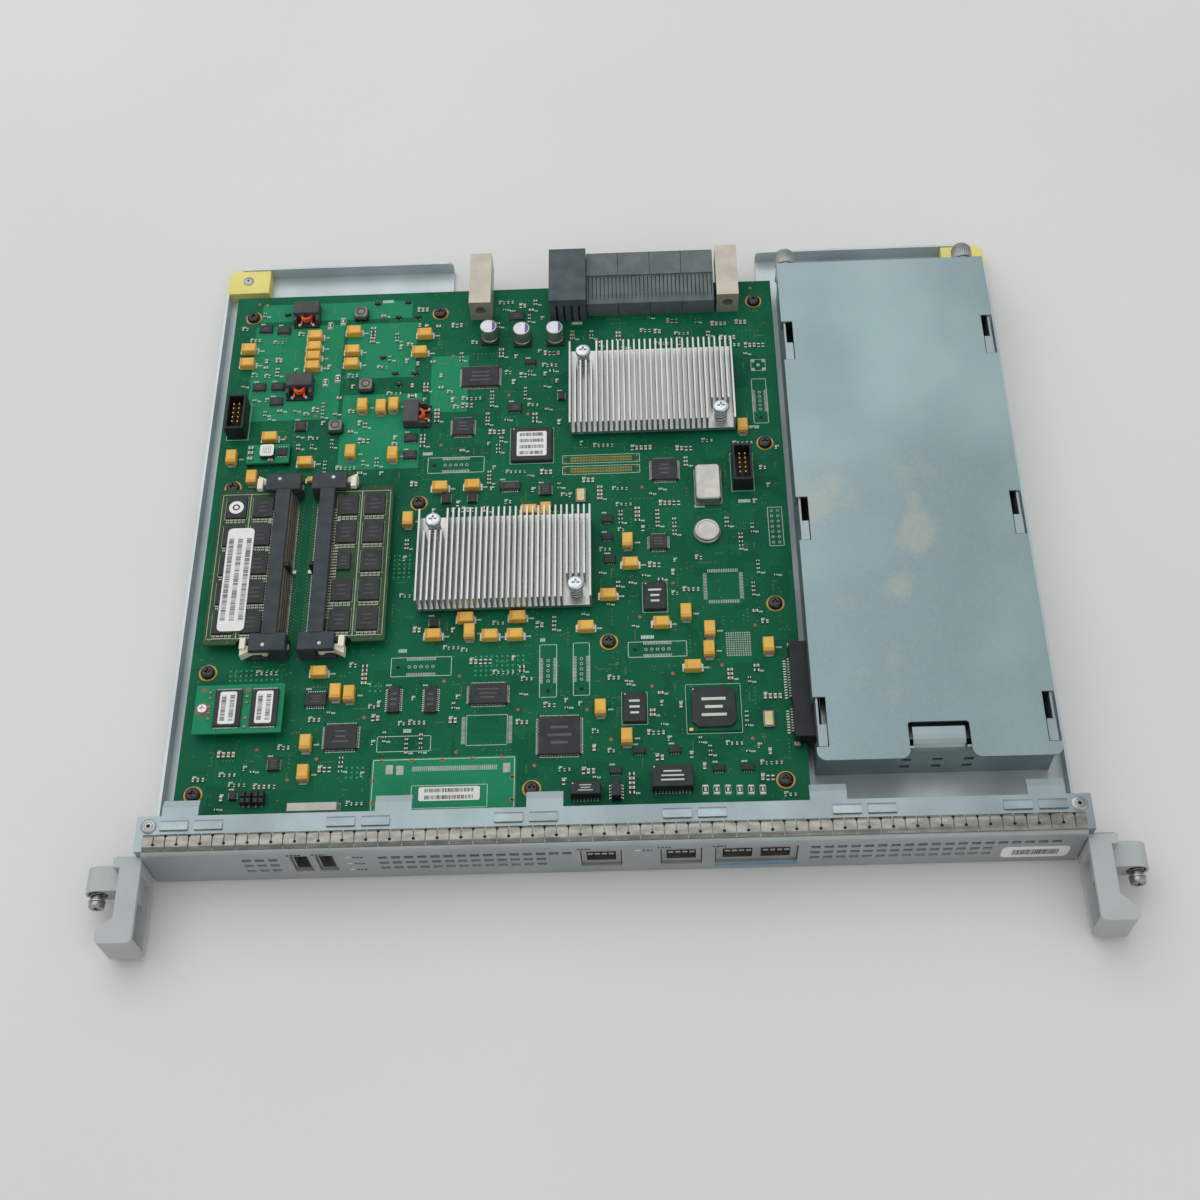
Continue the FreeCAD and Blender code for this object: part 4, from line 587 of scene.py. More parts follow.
def blocks(low: Any, high: Any, chamfer: float = 0.0) -> Skin:
    """Return blocks with chamfered upper edges.

    Each is a stack of rectangles: its foot, and its top drawn in by the chamfer above a shoulder.

    Args:
        low: lowest corners, one or an array of them
        high: highest corners
        chamfer: width of the slope along the upper edges

    Returns:
        the blocks
    """
    low, high = np.broadcast_arrays(np.atleast_2d(np.asarray(low, float)),
                                    np.atleast_2d(np.asarray(high, float)))
    inset = np.array([0.0, 0.0, chamfer]) if chamfer else np.zeros(2)
    share = np.array([[-1, -1], [1, -1], [1, 1], [-1, 1]])
    middle, half = (low + high)[:, None, None, :2] / 2, (high - low)[:, None, None, :2] / 2
    flat = middle + share * np.maximum(half - inset[None, :, None, None], 0.01)
    levels = [low[:, 2], high[:, 2] - chamfer, high[:, 2]] if chamfer else [low[:, 2], high[:, 2]]
    return loft(plan(flat, np.stack(levels, axis=1)[:, :, None]))


def standing(middle: Array, size: Any, chamfer: float = 0.0) -> Skin:
    """Return blocks of one size that stand with the middle of their foot on each point."""
    middle, half = np.atleast_2d(middle), np.array([size[0] / 2, size[1] / 2, 0.0])
    return blocks(middle - half, middle + half + UP * size[2], chamfer)


def ends_of(spots: Array, away: float, size: Any) -> Skin:
    """Return the two tinned ends of small parts, blocks of one size to the left and right of each spot."""
    return standing(spots - [away, 0, 0], size) + standing(spots + [away, 0, 0], size)


def frames(low: Array, high: Array, width: float) -> Skin:
    """Draw flat rectangles as four bars each: front, rear, left and right.

    Args:
        low: lowest corners, one or an array of them
        high: highest corners
        width: width of the bars

    Returns:
        the bars
    """
    low, high, bars = np.atleast_2d(low), np.atleast_2d(high), []
    for axis in (1, 0):
        near, far = high.copy(), low.copy()
        near[:, axis], far[:, axis] = low[:, axis] + width, high[:, axis] - width
        bars += [blocks(low, near), blocks(far, high)]
    return joined(bars)


def rounds(radius: Array, height: Sequence[float], centres: Array, facing: Facing = Facing.UP,
           closed: bool = False) -> Skin:
    """Return turned pieces.

    Ring k is at height h(k) on the axis and its side at angle a is r(k, a) away from the axis; side i
    is at the angle 2 pi (i + 1/2) / n, so opposite sides of a cap lie on one line.

    Args:
        radius: array of shape (rings, sides)
        height: height of each ring along the axis
        centres: points on the axis at height zero
        facing: the way that the axis points
        closed: the last ring meets the first, as in a washer

    Returns:
        the pieces
    """
    angle = 2 * np.pi * (np.arange(radius.shape[1]) + 0.5) / radius.shape[1]
    ring = spread(radius * np.cos(angle), radius * np.sin(angle), np.asarray(height, float)[:, None])
    return loft(np.atleast_2d(centres)[:, None, None] + facing.turn(ring)[None], closed)


def turned(profile: Profile, centres: Array, facing: Facing = Facing.UP,
           sides: int = 24, closed: bool = False) -> Skin:
    """Return turned pieces from a profile of (radius, height) pairs."""
    shape = np.array(profile, float)
    return rounds(np.repeat(shape[:, :1], sides, axis=1), shape[:, 1], centres, facing, closed)


def discs(radius: float, thick: float, centres: Array, sides: int, top: float | None = None) -> Skin:
    """Return round plates that lie on points; their tops may have a radius of their own."""
    return turned([(radius, 0), (top or radius, thick)], centres, sides=sides)


def washers(inner: float, outer: float, thick: float, centres: Array, sides: int) -> Skin:
    """Return flat rings that lie on points."""
    return turned([(inner, 0), (outer, 0), (outer, thick), (inner, thick)], centres, sides=sides, closed=True)


def cross_screws(profile: Profile, centres: Array, facing: Facing, half: float,
                 deep: float, sides: int = 32) -> Skin:
    """Return screws with a cross recess sunk in the end of a turned profile.

    The angle of a side folds into an eighth of a turn t; the recess's radius is the smaller of
    half / cos t, the arm's end, and a share of half / sin t, the arm's flank.

    Args:
        profile: (radius, height) pairs from the tip to the head
        centres: points on the axis at height zero
        facing: the way that the head points
        half: half of the cross's width
        deep: depth of the recess
        sides: sides of each ring

    Returns:
        the screws
    """
    angle = 2 * np.pi * (np.arange(sides) + 0.5) / sides
    fold = np.abs((angle + np.pi / 4) % (np.pi / 2) - np.pi / 4)
    recess = np.minimum(half / np.cos(fold), half * 0.26 / np.maximum(np.sin(fold), 1e-6))
    shape = np.array(profile, float)
    radius = np.concatenate([np.repeat(shape[:, :1], sides, axis=1), [recess, recess * 0.8]])
    return rounds(radius, [*shape[:, 1], shape[-1, 1], shape[-1, 1] - deep], centres, facing)


def helix(centre: Array, facing: Facing, radius: float, wire: float, length: float, turns: float) -> Skin:
    """Return a spring.

    With winding angle a and section angle b, the point is (R + r cos b) outward at a, and
    r sin b plus a share of the length along the axis. The first and last turn lie flat.

    Args:
        centre: point on the axis where the spring starts
        facing: the way that it rises
        radius: radius of the wire's middle line
        wire: half of the wire's thickness
        length: whole length
        turns: number of turns

    Returns:
        the spring
    """
    share = np.linspace(0, 1, int(turns * 14) + 1)[:, None]
    angle, section = 2 * np.pi * turns * share, 2 * np.pi * (np.arange(6) + 0.5)[None] / 6
    lead = np.clip((share * (turns + 1) - 0.5) / turns, 0, 1)
    out = radius + wire * np.cos(section)
    rise = wire + (length - 2 * wire) * lead + wire * np.sin(section)
    return loft((centre + facing.turn(spread(out * np.cos(angle), out * np.sin(angle), rise)))[None])


def leads(feet: Array, outward: Array, width: float, reach: float, rise: float) -> Skin:
    """Return bent leads.

    The middle line leaves the body level at the height rise, bends down at three tenths of its reach
    and runs out level on the board; the section is a flat rectangle.

    Args:
        feet: (leads, 3) points on the board under the body's edge
        outward: (leads, 2) directions away from the body
        width: width of a lead
        reach: length from the body's edge to the lead's end
        rise: height at which it leaves the body

    Returns:
        the leads
    """
    run, lift = reach * np.array([-0.3, 0.3, 0.55, 1.0]), np.array([rise, rise, 0.08, 0.08])
    out, side = spread(outward[:, 0], outward[:, 1], 0.0), spread(-outward[:, 1], outward[:, 0], 0.0)
    middle = feet[:, None] + out[:, None] * run[None, :, None] + UP * lift[None, :, None]
    corner = np.array([[-1, -1], [1, -1], [1, 1], [-1, 1]]) / 2
    ring = middle[:, :, None] + side[:, None, None] * (corner[:, 0] * width)[:, None]
    return loft(ring + UP * (corner[:, 1] * 0.13)[:, None])


def show(name: str, skin: Skin, finish: Finish, stands_for: str = "", body: str = "chassis",
         smooth: float = 32.0) -> bpy.types.Object:
    """Make a piece of the module.

    Args:
        name: name of the piece
        skin: its points and quads
        finish: its finish
        stands_for: the CAD node that it replaces, if any
        body: the CAD body that it moves with
        smooth: edges that turn by more degrees than this stay crisp

    Returns:
        the object
    """
    mesh = bpy.data.meshes.new(name)
    mesh.vertices.add(len(skin.points))
    mesh.vertices.foreach_set("co", (skin.points * MM).ravel())
    mesh.loops.add(skin.quads.size)
    mesh.loops.foreach_set("vertex_index", skin.quads.ravel())
    mesh.polygons.add(len(skin.quads))
    mesh.polygons.foreach_set("loop_start", np.arange(len(skin.quads)) * 4)
    mesh.update(calc_edges=True)
    mesh.validate()
    work = bmesh.new()
    work.from_mesh(mesh)
    bmesh.ops.recalc_face_normals(work, faces=work.faces)
    work.to_mesh(mesh)
    work.free()
    mesh.shade_smooth()
    mesh.set_sharp_from_angle(angle=math.radians(smooth))
    mesh.materials.append(material(finish))
    item = bpy.data.objects.new(name, mesh)
    bpy.context.scene.collection.objects.link(item)
    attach(item, body)
    if stands_for:
        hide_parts(stands_for)
    LOG.info("%s: %d faces", name, len(skin.quads))
    return item


@dataclass
class CarriedPart:
    """A CAD node that stays, with softened edges and its own finish."""

    node: str
    finish: Finish
    edge: float

    def dress(self) -> None:
        """Give the node its finish, and weld, flatten and round its edges with modifiers."""
        item = frame["nodes"][self.node]
        item.data.materials.clear()
        item.data.materials.append(material(self.finish))
        if self.edge:
            weld = item.modifiers.new("weld", "WELD")
            weld.merge_threshold = 1e-6
            flat = item.modifiers.new("flat", "DECIMATE")
            flat.decimate_type = "DISSOLVE"
            flat.angle_limit = math.radians(1.0)
            soft = item.modifiers.new("soft", "BEVEL")
            soft.width = self.edge * MM
            soft.segments = 2
            soft.limit_method = "ANGLE"
            soft.angle_limit = math.radians(40)
            soft.harden_normals = True
        LOG.info("%s: carried over", self.node)


CARRIED: dict[tuple[Finish, float], tuple[str, ...]] = {
    (ZINC, 0.2): ("base_tray",), (BRACKET, 0.15): ("front_bracket", "drive_box"),
    (COVER, 0.2): ("drive_cover",),
    (PANEL, 0.12): ("front_panel",), (HANDLE, 0.45): ("left_handle", "right_handle"),
    (YELLOW, 0.4): ("left_corner_guide", "right_corner_guide"), (MASK, 0.0): ("main_board",),
    (POST, 0.1): ("board_standoffs",), (CASTING, 0.3): ("left_guide_block", "right_guide_block"),
    (CONNECTOR, 0.2): ("power_connector",), (SIGNAL, 0.12): ("signal_connectors",),
    (ALUMINIUM, 0.12): ("upper_heat_sink", "lower_heat_sink"), (PACKAGE, 0.2): ("processors",),
    (MODULE, 0.08): ("left_memory_module", "right_memory_module"), (STEEL, 0.08): ("latch_pins",),
    (IVORY, 0.25): ("left_rear_latch", "left_front_latch", "right_rear_latch", "right_front_latch"),
    (POUR, 0.08): ("flash_module",), (SHROUD, 0.2): ("flash_connector", "drive_connector"),
    (SHROUD, 0.12): ("board_headers",), (PORT, 0.12): ("network_jacks", "usb_ports"),
    (LIGHT, 0.2): ("status_lights",), (DRIVE, 0.5): ("hard_drive",),
}


@dataclass
class SpringGasket:
    """The bright spring-finger strip along the bracket's front edge."""

    pitch: float = 4.7625
    slit: float = 0.46
    sheet: float = 0.16
    eye: float = 0.72
    eye_share: float = 0.17
    clear: float = 0.03

    def strips(self, middle: Array, half: Array, start: float, end: float, lift: float = 0.0) -> Skin:
        """Return arched strips of sheet.

        Sections follow the arch from the share start to the share end; its height falls with the cube
        of the way from the crown. Each section is a flat rectangle that reaches its own half width to
        both sides of the strip's middle line.

        Args:
            middle: X of each strip's middle line
            half: half width at each section
            start: share of the arch where the strip starts
            end: share where it ends
            lift: height above the sheet

        Returns:
            the strips
        """
        low, high = span("emi_gasket")
        share = np.linspace(start, end, len(half))
        depth = low[1] + (high[1] - low[1]) * share
        rise = high[2] - low[2] - self.sheet - self.clear
        height = low[2] + self.sheet + rise * (1 - np.abs(2 * share - 1) ** 3)
        side, drop = np.array([-1.0, 1.0, 1.0, -1.0]), np.array([0.0, 0.0, self.sheet, self.sheet])
        across = middle[:, None, None] + half[None, :, None] * side
        return loft(spread(across, depth[:, None], height[:, None] + lift - drop))

    def build(self) -> None:
        """Lay the fingers side by side; slits end in round eyes near the front and the rear in turn."""
        low, high = span("emi_gasket")
        count = round((high[0] - low[0]) / self.pitch)
        middle = (low[0] + high[0]) / 2 + self.pitch * (np.arange(count) - (count - 1) / 2)
        slits = middle[:-1] + self.pitch / 2
        fingers = self.strips(middle, np.full(13, (self.pitch - self.slit) / 2), 0.0, 1.0)
        bridge = np.full(4, self.slit / 2 + 0.02)
        fingers += self.strips(slits[::2], bridge, 0.0, 0.28) + self.strips(slits[1::2], bridge, 0.92, 1.0)
        show("spring_gasket", fingers, NICKEL, "emi_gasket", smooth=50)
        disc = self.eye * np.sqrt(1 - np.linspace(-0.99, 0.99, 7) ** 2)
        eyes = self.strips(slits[::2], disc, 0.26, 0.26 + self.eye_share, 0.02)
        eyes += self.strips(slits[1::2], disc, 0.94 - self.eye_share, 0.94, 0.02)
        show("gasket_eyes", eyes, HOLE, smooth=50)


@dataclass
class CaptiveScrew:
    """A captive screw in a handle's ear, with its washer and spring."""

    side: str
    head: float = 2.58
    shank: float = 2.0
    wire: float = 0.26
    turns: float = 4.5

    def __post_init__(self) -> None:
        """Find the screw's axis."""
        self.axis = np.mean(span(f"{self.side}_captive_screw"), axis=0)

    def seat(self, part: str) -> tuple[Array, float, float]:
        """Return the rear end on the axis, the radius and the length of a part's CAD node."""
        low, high = span(f"{self.side}_{part}")
        return self.axis * [1, 0, 1] + high * [0, 1, 0], (high[0] - low[0]) / 2, high[1] - low[1]

    def build(self) -> None:
        """Turn the screw and the washer, and wind the spring between the washer and the ear."""
        side, shank = self.side, self.shank
        rear, wide, long = self.seat("captive_screw")
        neck = long - self.head
        grooves = [(shank - 0.3 * (step % 2), 0.5 + 0.35 * step) for step in range(12)]
        profile = [(shank - 0.6, 0), *grooves, (shank, 5.2), (shank, neck), (wide - 0.15, neck),
                   (wide, neck + 0.2), (wide, long - 0.8), (wide - 0.25, long - 0.3), (wide - 0.8, long)]
        show(f"{side}_screw", cross_screws(profile, rear, Facing.FRONT, 1.8, 1.3), STEEL,
             f"{side}_captive_screw", f"{side}_screw")
        rear, wide, thick = self.seat("screw_washer")
        hole, rim = shank + 0.08, wide - 0.12
        profile = [(hole, 0), (rim, 0), (wide, 0.12), (wide, thick - 0.12), (rim, thick), (hole, thick)]
        show(f"{side}_washer", turned(profile, rear, Facing.FRONT, 32, True), STEEL, f"{side}_screw_washer",
             f"{side}_screw_carrier")
        rear, wide, long = self.seat("screw_spring")
        coil = helix(rear, Facing.FRONT, wide - self.wire, self.wire, long, self.turns)
        spring = show(f"{side}_spring", coil, STEEL, f"{side}_screw_spring", smooth=80)
        joint = next(item for item in frame["joints"] if item["name"] == f"{side}_screw_press")
        seat = joint["deforming_nodes"][0]["fixed_end_y_m"]
        free = seat / MM - span(f"{side}_screw_spring")[0][1]
        1 - joint["range_m"][1] / MM / free
        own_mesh(spring)


@dataclass
class BoardFixings:
    """Screws, rivets and springs that hold the board, the heat sinks and the guides."""

    ring_inner: float = 3.2
    ring_outer: float = 4.0
    wire: float = 0.3
    head: float = 2.2

    def board_screws(self) -> None:
        """Turn the board's black screws and lay gold rings round them; the label patch hides one."""
        boxes = islands("board_screws")
        middle = boxes.mean(axis=1)
        hidden = (middle[:, 0] > PATCH[0]) & (middle[:, 0] < PATCH[2]) & (middle[:, 1] < LINE + PATCH[3])
        corner = np.array([[CORNER_SCREW[0], LINE + CORNER_SCREW[1], 0.0]])
        top = at_height(np.concatenate([middle[~hidden], corner]), BOARD_TOP)
        wide, long = (boxes[0, 1, 0] - boxes[0, 0, 0]) / 2, BOARD_TOP - boxes[0, 0, 2]
        high = boxes[0, 1, 2] - BOARD_TOP
        profile = [(1.2, -long), (1.45, 0.4 - long), (1.45, 0), (wide, 0.05), (wide, high * 0.4),
                   (wide * 0.93, high * 0.72), (wide * 0.74, high * 0.94), (wide * 0.6, high)]
        show("board_screw_heads", cross_screws(profile, top, Facing.UP, 1.6, 0.9, 24), OXIDE, "board_screws")
        show("board_screw_rings", washers(self.ring_inner, self.ring_outer, 0.05, top, 28), RING)

    def sink_screws(self) -> None:
        """Turn the heat sinks' screws and wind their springs."""
        boxes = islands("heat_sink_screws")
        base = at_height(boxes.mean(axis=1), boxes[0, 0, 2])
        wide, long = (boxes[0, 1, 0] - boxes[0, 0, 0]) / 2, boxes[0, 1, 2] - boxes[0, 0, 2]
        neck = long - self.head
        profile = [(1.4, 0), (1.5, 0.3), (1.5, neck), (wide - 0.1, neck), (wide, neck + 0.2),
                   (wide, long - 1), (wide * 0.95, long - 0.5), (wide * 0.8, long - 0.12),
                   (wide * 0.66, long)]
        show("sink_screw_heads", cross_screws(profile, base, Facing.UP, 1.9, 1.1), CHROME,
             "heat_sink_screws")
        coils = []
        for low, high in islands("heat_sink_springs"):
            wide, tall = (high[0] - low[0]) / 2, high[2] - low[2]
            coils.append(helix(foot(low, high), Facing.UP, wide - self.wire, self.wire, tall, 4.0))
        show("sink_springs", joined(coils), CHROME, "heat_sink_springs", smooth=80)

    def rivets(self) -> None:
        """Turn domed rivet heads with a dark bore and a dark groove round it."""
        rivets, bores = [], []
        for low, high in islands("rivets"):
            base, wide, long = foot(low, high), (high[0] - low[0]) / 2, high[2] - low[2]
            rim, pin, top = min(0.7, long), wide * 0.26, at_height(base, high[2] - 0.02)
            bores += [turned([(pin, 0), (pin, 0.03), (pin * 0.5, 0.03)], top, sides=16),
                      washers(wide * 0.5, wide * 0.56, 0.03, top, 28)]
            profile = [(wide * 0.5, 0), (wide * 0.5, long - rim), (wide, long - rim),
                       (wide * 0.98, long - rim * 0.6), (wide * 0.82, long - rim * 0.2), (wide * 0.6, long),
                       (pin, long), (pin * 0.9, long - rim * 0.8)]
            rivets.append(turned(profile, base, sides=28))
        show("rivet_heads", joined(rivets), STEEL, "rivets")
        show("rivet_bores", joined(bores), HOLE)

    def flash_screw(self) -> None:
        """Turn the flash card's post and screw, whose neck goes through the card."""
        low, high = span("flash_fixing")
        under, over = (corner[2] - low[2] for corner in span("flash_module"))
        wide, top = (high[0] - low[0]) / 2, high[2] - low[2]
        profile = [(wide, 0), (wide, under), (1.2, under), (1.2, over), (wide - 0.15, over),
                   (wide - 0.1, over + 0.5), (wide - 0.4, top - 0.2), (wide - 0.9, top)]
        show("flash_screw", cross_screws(profile, foot(low, high), Facing.UP, 1.2, 0.7), CHROME,
             "flash_fixing")

    def build(self) -> None:
        """Make all the fixings."""
        self.board_screws()
        self.sink_screws()
        self.rivets()
        self.flash_screw()


@dataclass
class Thumbscrews:
    """The two knurled screws that hold the drive cover."""

    ribs: int = 30
    groove: float = 0.3
    collar: float = 2.4
    collar_radius: float = 3.9

    def build(self) -> None:
        """Turn each knob with straight knurls: its radius dips with the cosine of the rib angle."""
        sides = self.ribs * 4
        angle = 2 * np.pi * (np.arange(sides) + 0.5) / sides
        dip = self.groove * (0.5 - 0.5 * np.cos(self.ribs * angle))
        for side in ("left", "right"):
            low, high = span(f"{side}_thumbscrew")
            wide, long = (high[0] - low[0]) / 2, high[1] - low[1]
            seat = span("drive_cover")[1][1] - low[1]
            rim, neck = seat + self.collar, self.collar_radius
            rows = [(1.5, 0, 0), (1.85, 0.4, 0), (1.85, seat, 0), (neck - 0.2, seat, 0),
                    (neck, seat + 0.2, 0), (neck, rim, 0), (wide - 0.5, rim, 0), (wide - 0.1, rim + 0.4, 1),
                    (wide, rim + 0.8, 1), (wide, long - 1.9, 1), (wide - 0.3, long - 1.5, 1),
                    (wide - 0.6, long - 1.2, 0), (wide - 0.9, long - 0.5, 0), (wide - 1.6, long, 0),
                    (1, long, 0), (0.6, long - 0.4, 0)]
            shape = np.array(rows)
            radius = shape[:, :1] - dip * shape[:, 2:]
            start = (low + high) / 2 * [1, 0, 1] + low * [0, 1, 0]
            show(f"{side}_knob", rounds(radius, shape[:, 1], start, Facing.REAR), KNOB, f"{side}_thumbscrew",
                 f"knob_{side}", smooth=40)


@dataclass
class DriveVentShade:
    """Painted shade inside the drive box: dark plates behind its six front vents, where the closed box is dark
    inside.
    """

    middle: float = 135.0
    pitch: float = 12.9
    rows: tuple[float, float] = (7.6, 14.0)
    half_wide: float = 2.3
    half_high: float = 1.5
    behind: tuple[float, float] = (1.03, 1.3)

    def build(self) -> None:
        """Stand a thin dark plate behind each vent, just clear of the wall's inner face, to paint the shade inside
        the box.
        """
        front = span("drive_box")[0][1]
        spots = np.array([(self.middle + step * self.pitch, front, row)
                          for row in self.rows for step in (-1, 0, 1)])
        low = spots + [-self.half_wide, self.behind[0], -self.half_high]
        high = spots + [self.half_wide, self.behind[1], self.half_high]
        # thin dark plates of painted shade behind the vents
        show("box_vent_depths", blocks(low, high), HOLE)


@dataclass
class ChipPackages:
    """Integrated circuits with their leads and plain marks."""

    reach: float = 1.1
    small: float = 7.0
    short_reach: float = 0.5
    large: float = 21.0
    seed: int = 7

    def pins(self, low: Array, high: Array, reach: float, pinout: Pinout, pitch: float) -> Skin:
        """Return the leads of one package.

        Args:
            low: lowest corner of its body
            high: highest corner
            reach: length of the leads
            pinout: the sides that carry leads
            pitch: distance between leads

        Returns:
            the leads
        """
        size, feet, outward = high - low, [], []
        for axis in (0, 1) if pinout is Pinout.ALL else (int(size[0] > size[1]),):
            along = 1 - axis
            count = max(int((size[along] - 0.8) / pitch), 2)
            steps = (np.arange(count) - (count - 1) / 2) * pitch + (low[along] + high[along]) / 2
            for edge, way in ((low[axis], -1.0), (high[axis], 1.0)):
                points = np.full((count, 3), BOARD_TOP)
                points[:, along], points[:, axis] = steps, edge
                feet.append(points)
                outward.append(np.tile(np.eye(2)[axis] * way, (count, 1)))
        return leads(np.concatenate(feet), np.concatenate(outward), pitch * 0.45, reach, 0.7)

    def bodies(self, name: str, pinout: Pinout, pitch: float) -> Array:
        """Make the bodies and leads of a CAD node's packages.

        Args:
            name: name of the node
            pinout: the sides that carry leads
            pitch: distance between leads

        Returns:
            array of shape (2, packages, 3) with the bodies' lowest and highest corners
        """
        boxes = islands(name)
        size = boxes[:, 1] - boxes[:, 0]
        reach = np.where(size[:, :2].max(axis=1) < self.small, self.short_reach, self.reach)
        inset = reach[:, None] * FLAT
        if pinout is Pinout.LONG:
            wide = size[:, 0] > size[:, 1]
            inset[wide, 0], inset[~wide, 1] = 0.0, 0.0
        low, high = boxes[:, 0] + inset + UP * 0.15, boxes[:, 1] - inset
        show(f"{name}_bodies", blocks(low, high, 0.25), PACKAGE, name)
        pins = [self.pins(*package, pinout, pitch) for package in zip(low, high, reach)]
        show(f"{name}_leads", joined(pins), TIN)
        return np.array([low, high])

    def arrays(self) -> Array:
        """Make the grid arrays, the large ones with a green base.

        Returns:
            array of shape (2, packages, 3) with the bodies' lowest and highest corners
        """
        boxes = islands("grid_array_packages")
        low, high = boxes[:, 0].copy(), boxes[:, 1].copy()
        large = high[:, 0] - low[:, 0] > self.large
        low[large] += [1.6, 1.6, 0.7]
        high[large] -= [1.6, 1.6, 0.0]
        cap = rounded(low[large], high[large], 2.6, [(0, 0), (0, 0.75), (0.3, 1)], 2)
        show("grid_array_bodies", blocks(low[~large], high[~large], 0.3) + cap, PACKAGE,
             "grid_array_packages")
        rise = UP * (boxes[large, 0] + 0.75)
        show("grid_array_base", blocks(boxes[large, 0], boxes[large, 1] * FLAT + rise, 0.1), MASK)
        corner = boxes[large, 0] * FLAT + rise
        show("grid_array_corner", blocks(corner + [0.3, 0.3, 0], corner + [1.9, 1.7, 0.06]), GOLD)
        return np.array([low, high])

    def build(self) -> None:
        """Make every package, and rows of plain bars as its marks."""
        flat = self.bodies("quad_flat_packages", Pinout.ALL, 0.65)
        small = self.bodies("small_outline_packages", Pinout.LONG, 1.0)
        coils = self.bodies("network_transformers", Pinout.LONG, 1.4)
        self.marks(*np.concatenate([coils, self.arrays()], axis=1), "printed", INK)
        self.marks(*np.concatenate([flat, small], axis=1), "package", ETCH)
        low, high = islands("memory_chips").swapaxes(0, 1)
        show("memory_chip_bodies", blocks(low, high, 0.15), PACKAGE, "memory_chips")
        self.marks(low, high, "memory", FAINT)

    def marks(self, low: Array, high: Array, name: str, finish: Finish) -> None:
        """Print plain bars and a dot on the tops of packages; lengths come from a seeded generator.

        Args:
            low: lowest corners of the packages
            high: highest corners
            name: first word of the piece's name
            finish: finish of the marks
        """
        chance = np.random.default_rng(self.seed)
        wanted = (high - low)[:, :2].min(axis=1) > 4.0
        low, high = low[wanted], high[wanted]
        size, middle, bars = high - low, (low + high) / 2, []
        for row in (-0.2, 0.0, 0.2):
            half = spread(size[:, 0] * chance.uniform(0.16, 0.3, len(size)), size[:, 1] * 0.035, 0.0)
            at = middle * FLAT + size * [0, row, 0] + high * UP
            bars.append(blocks(at - half - UP * 0.01, at + half + UP * 0.015))
        dot = spread(low[:, 0] + 0.9, high[:, 1] - 0.9, high[:, 2] - 0.01)
        show(f"{name}_marks", joined([*bars, discs(0.35, 0.03, dot, 8)]), finish)


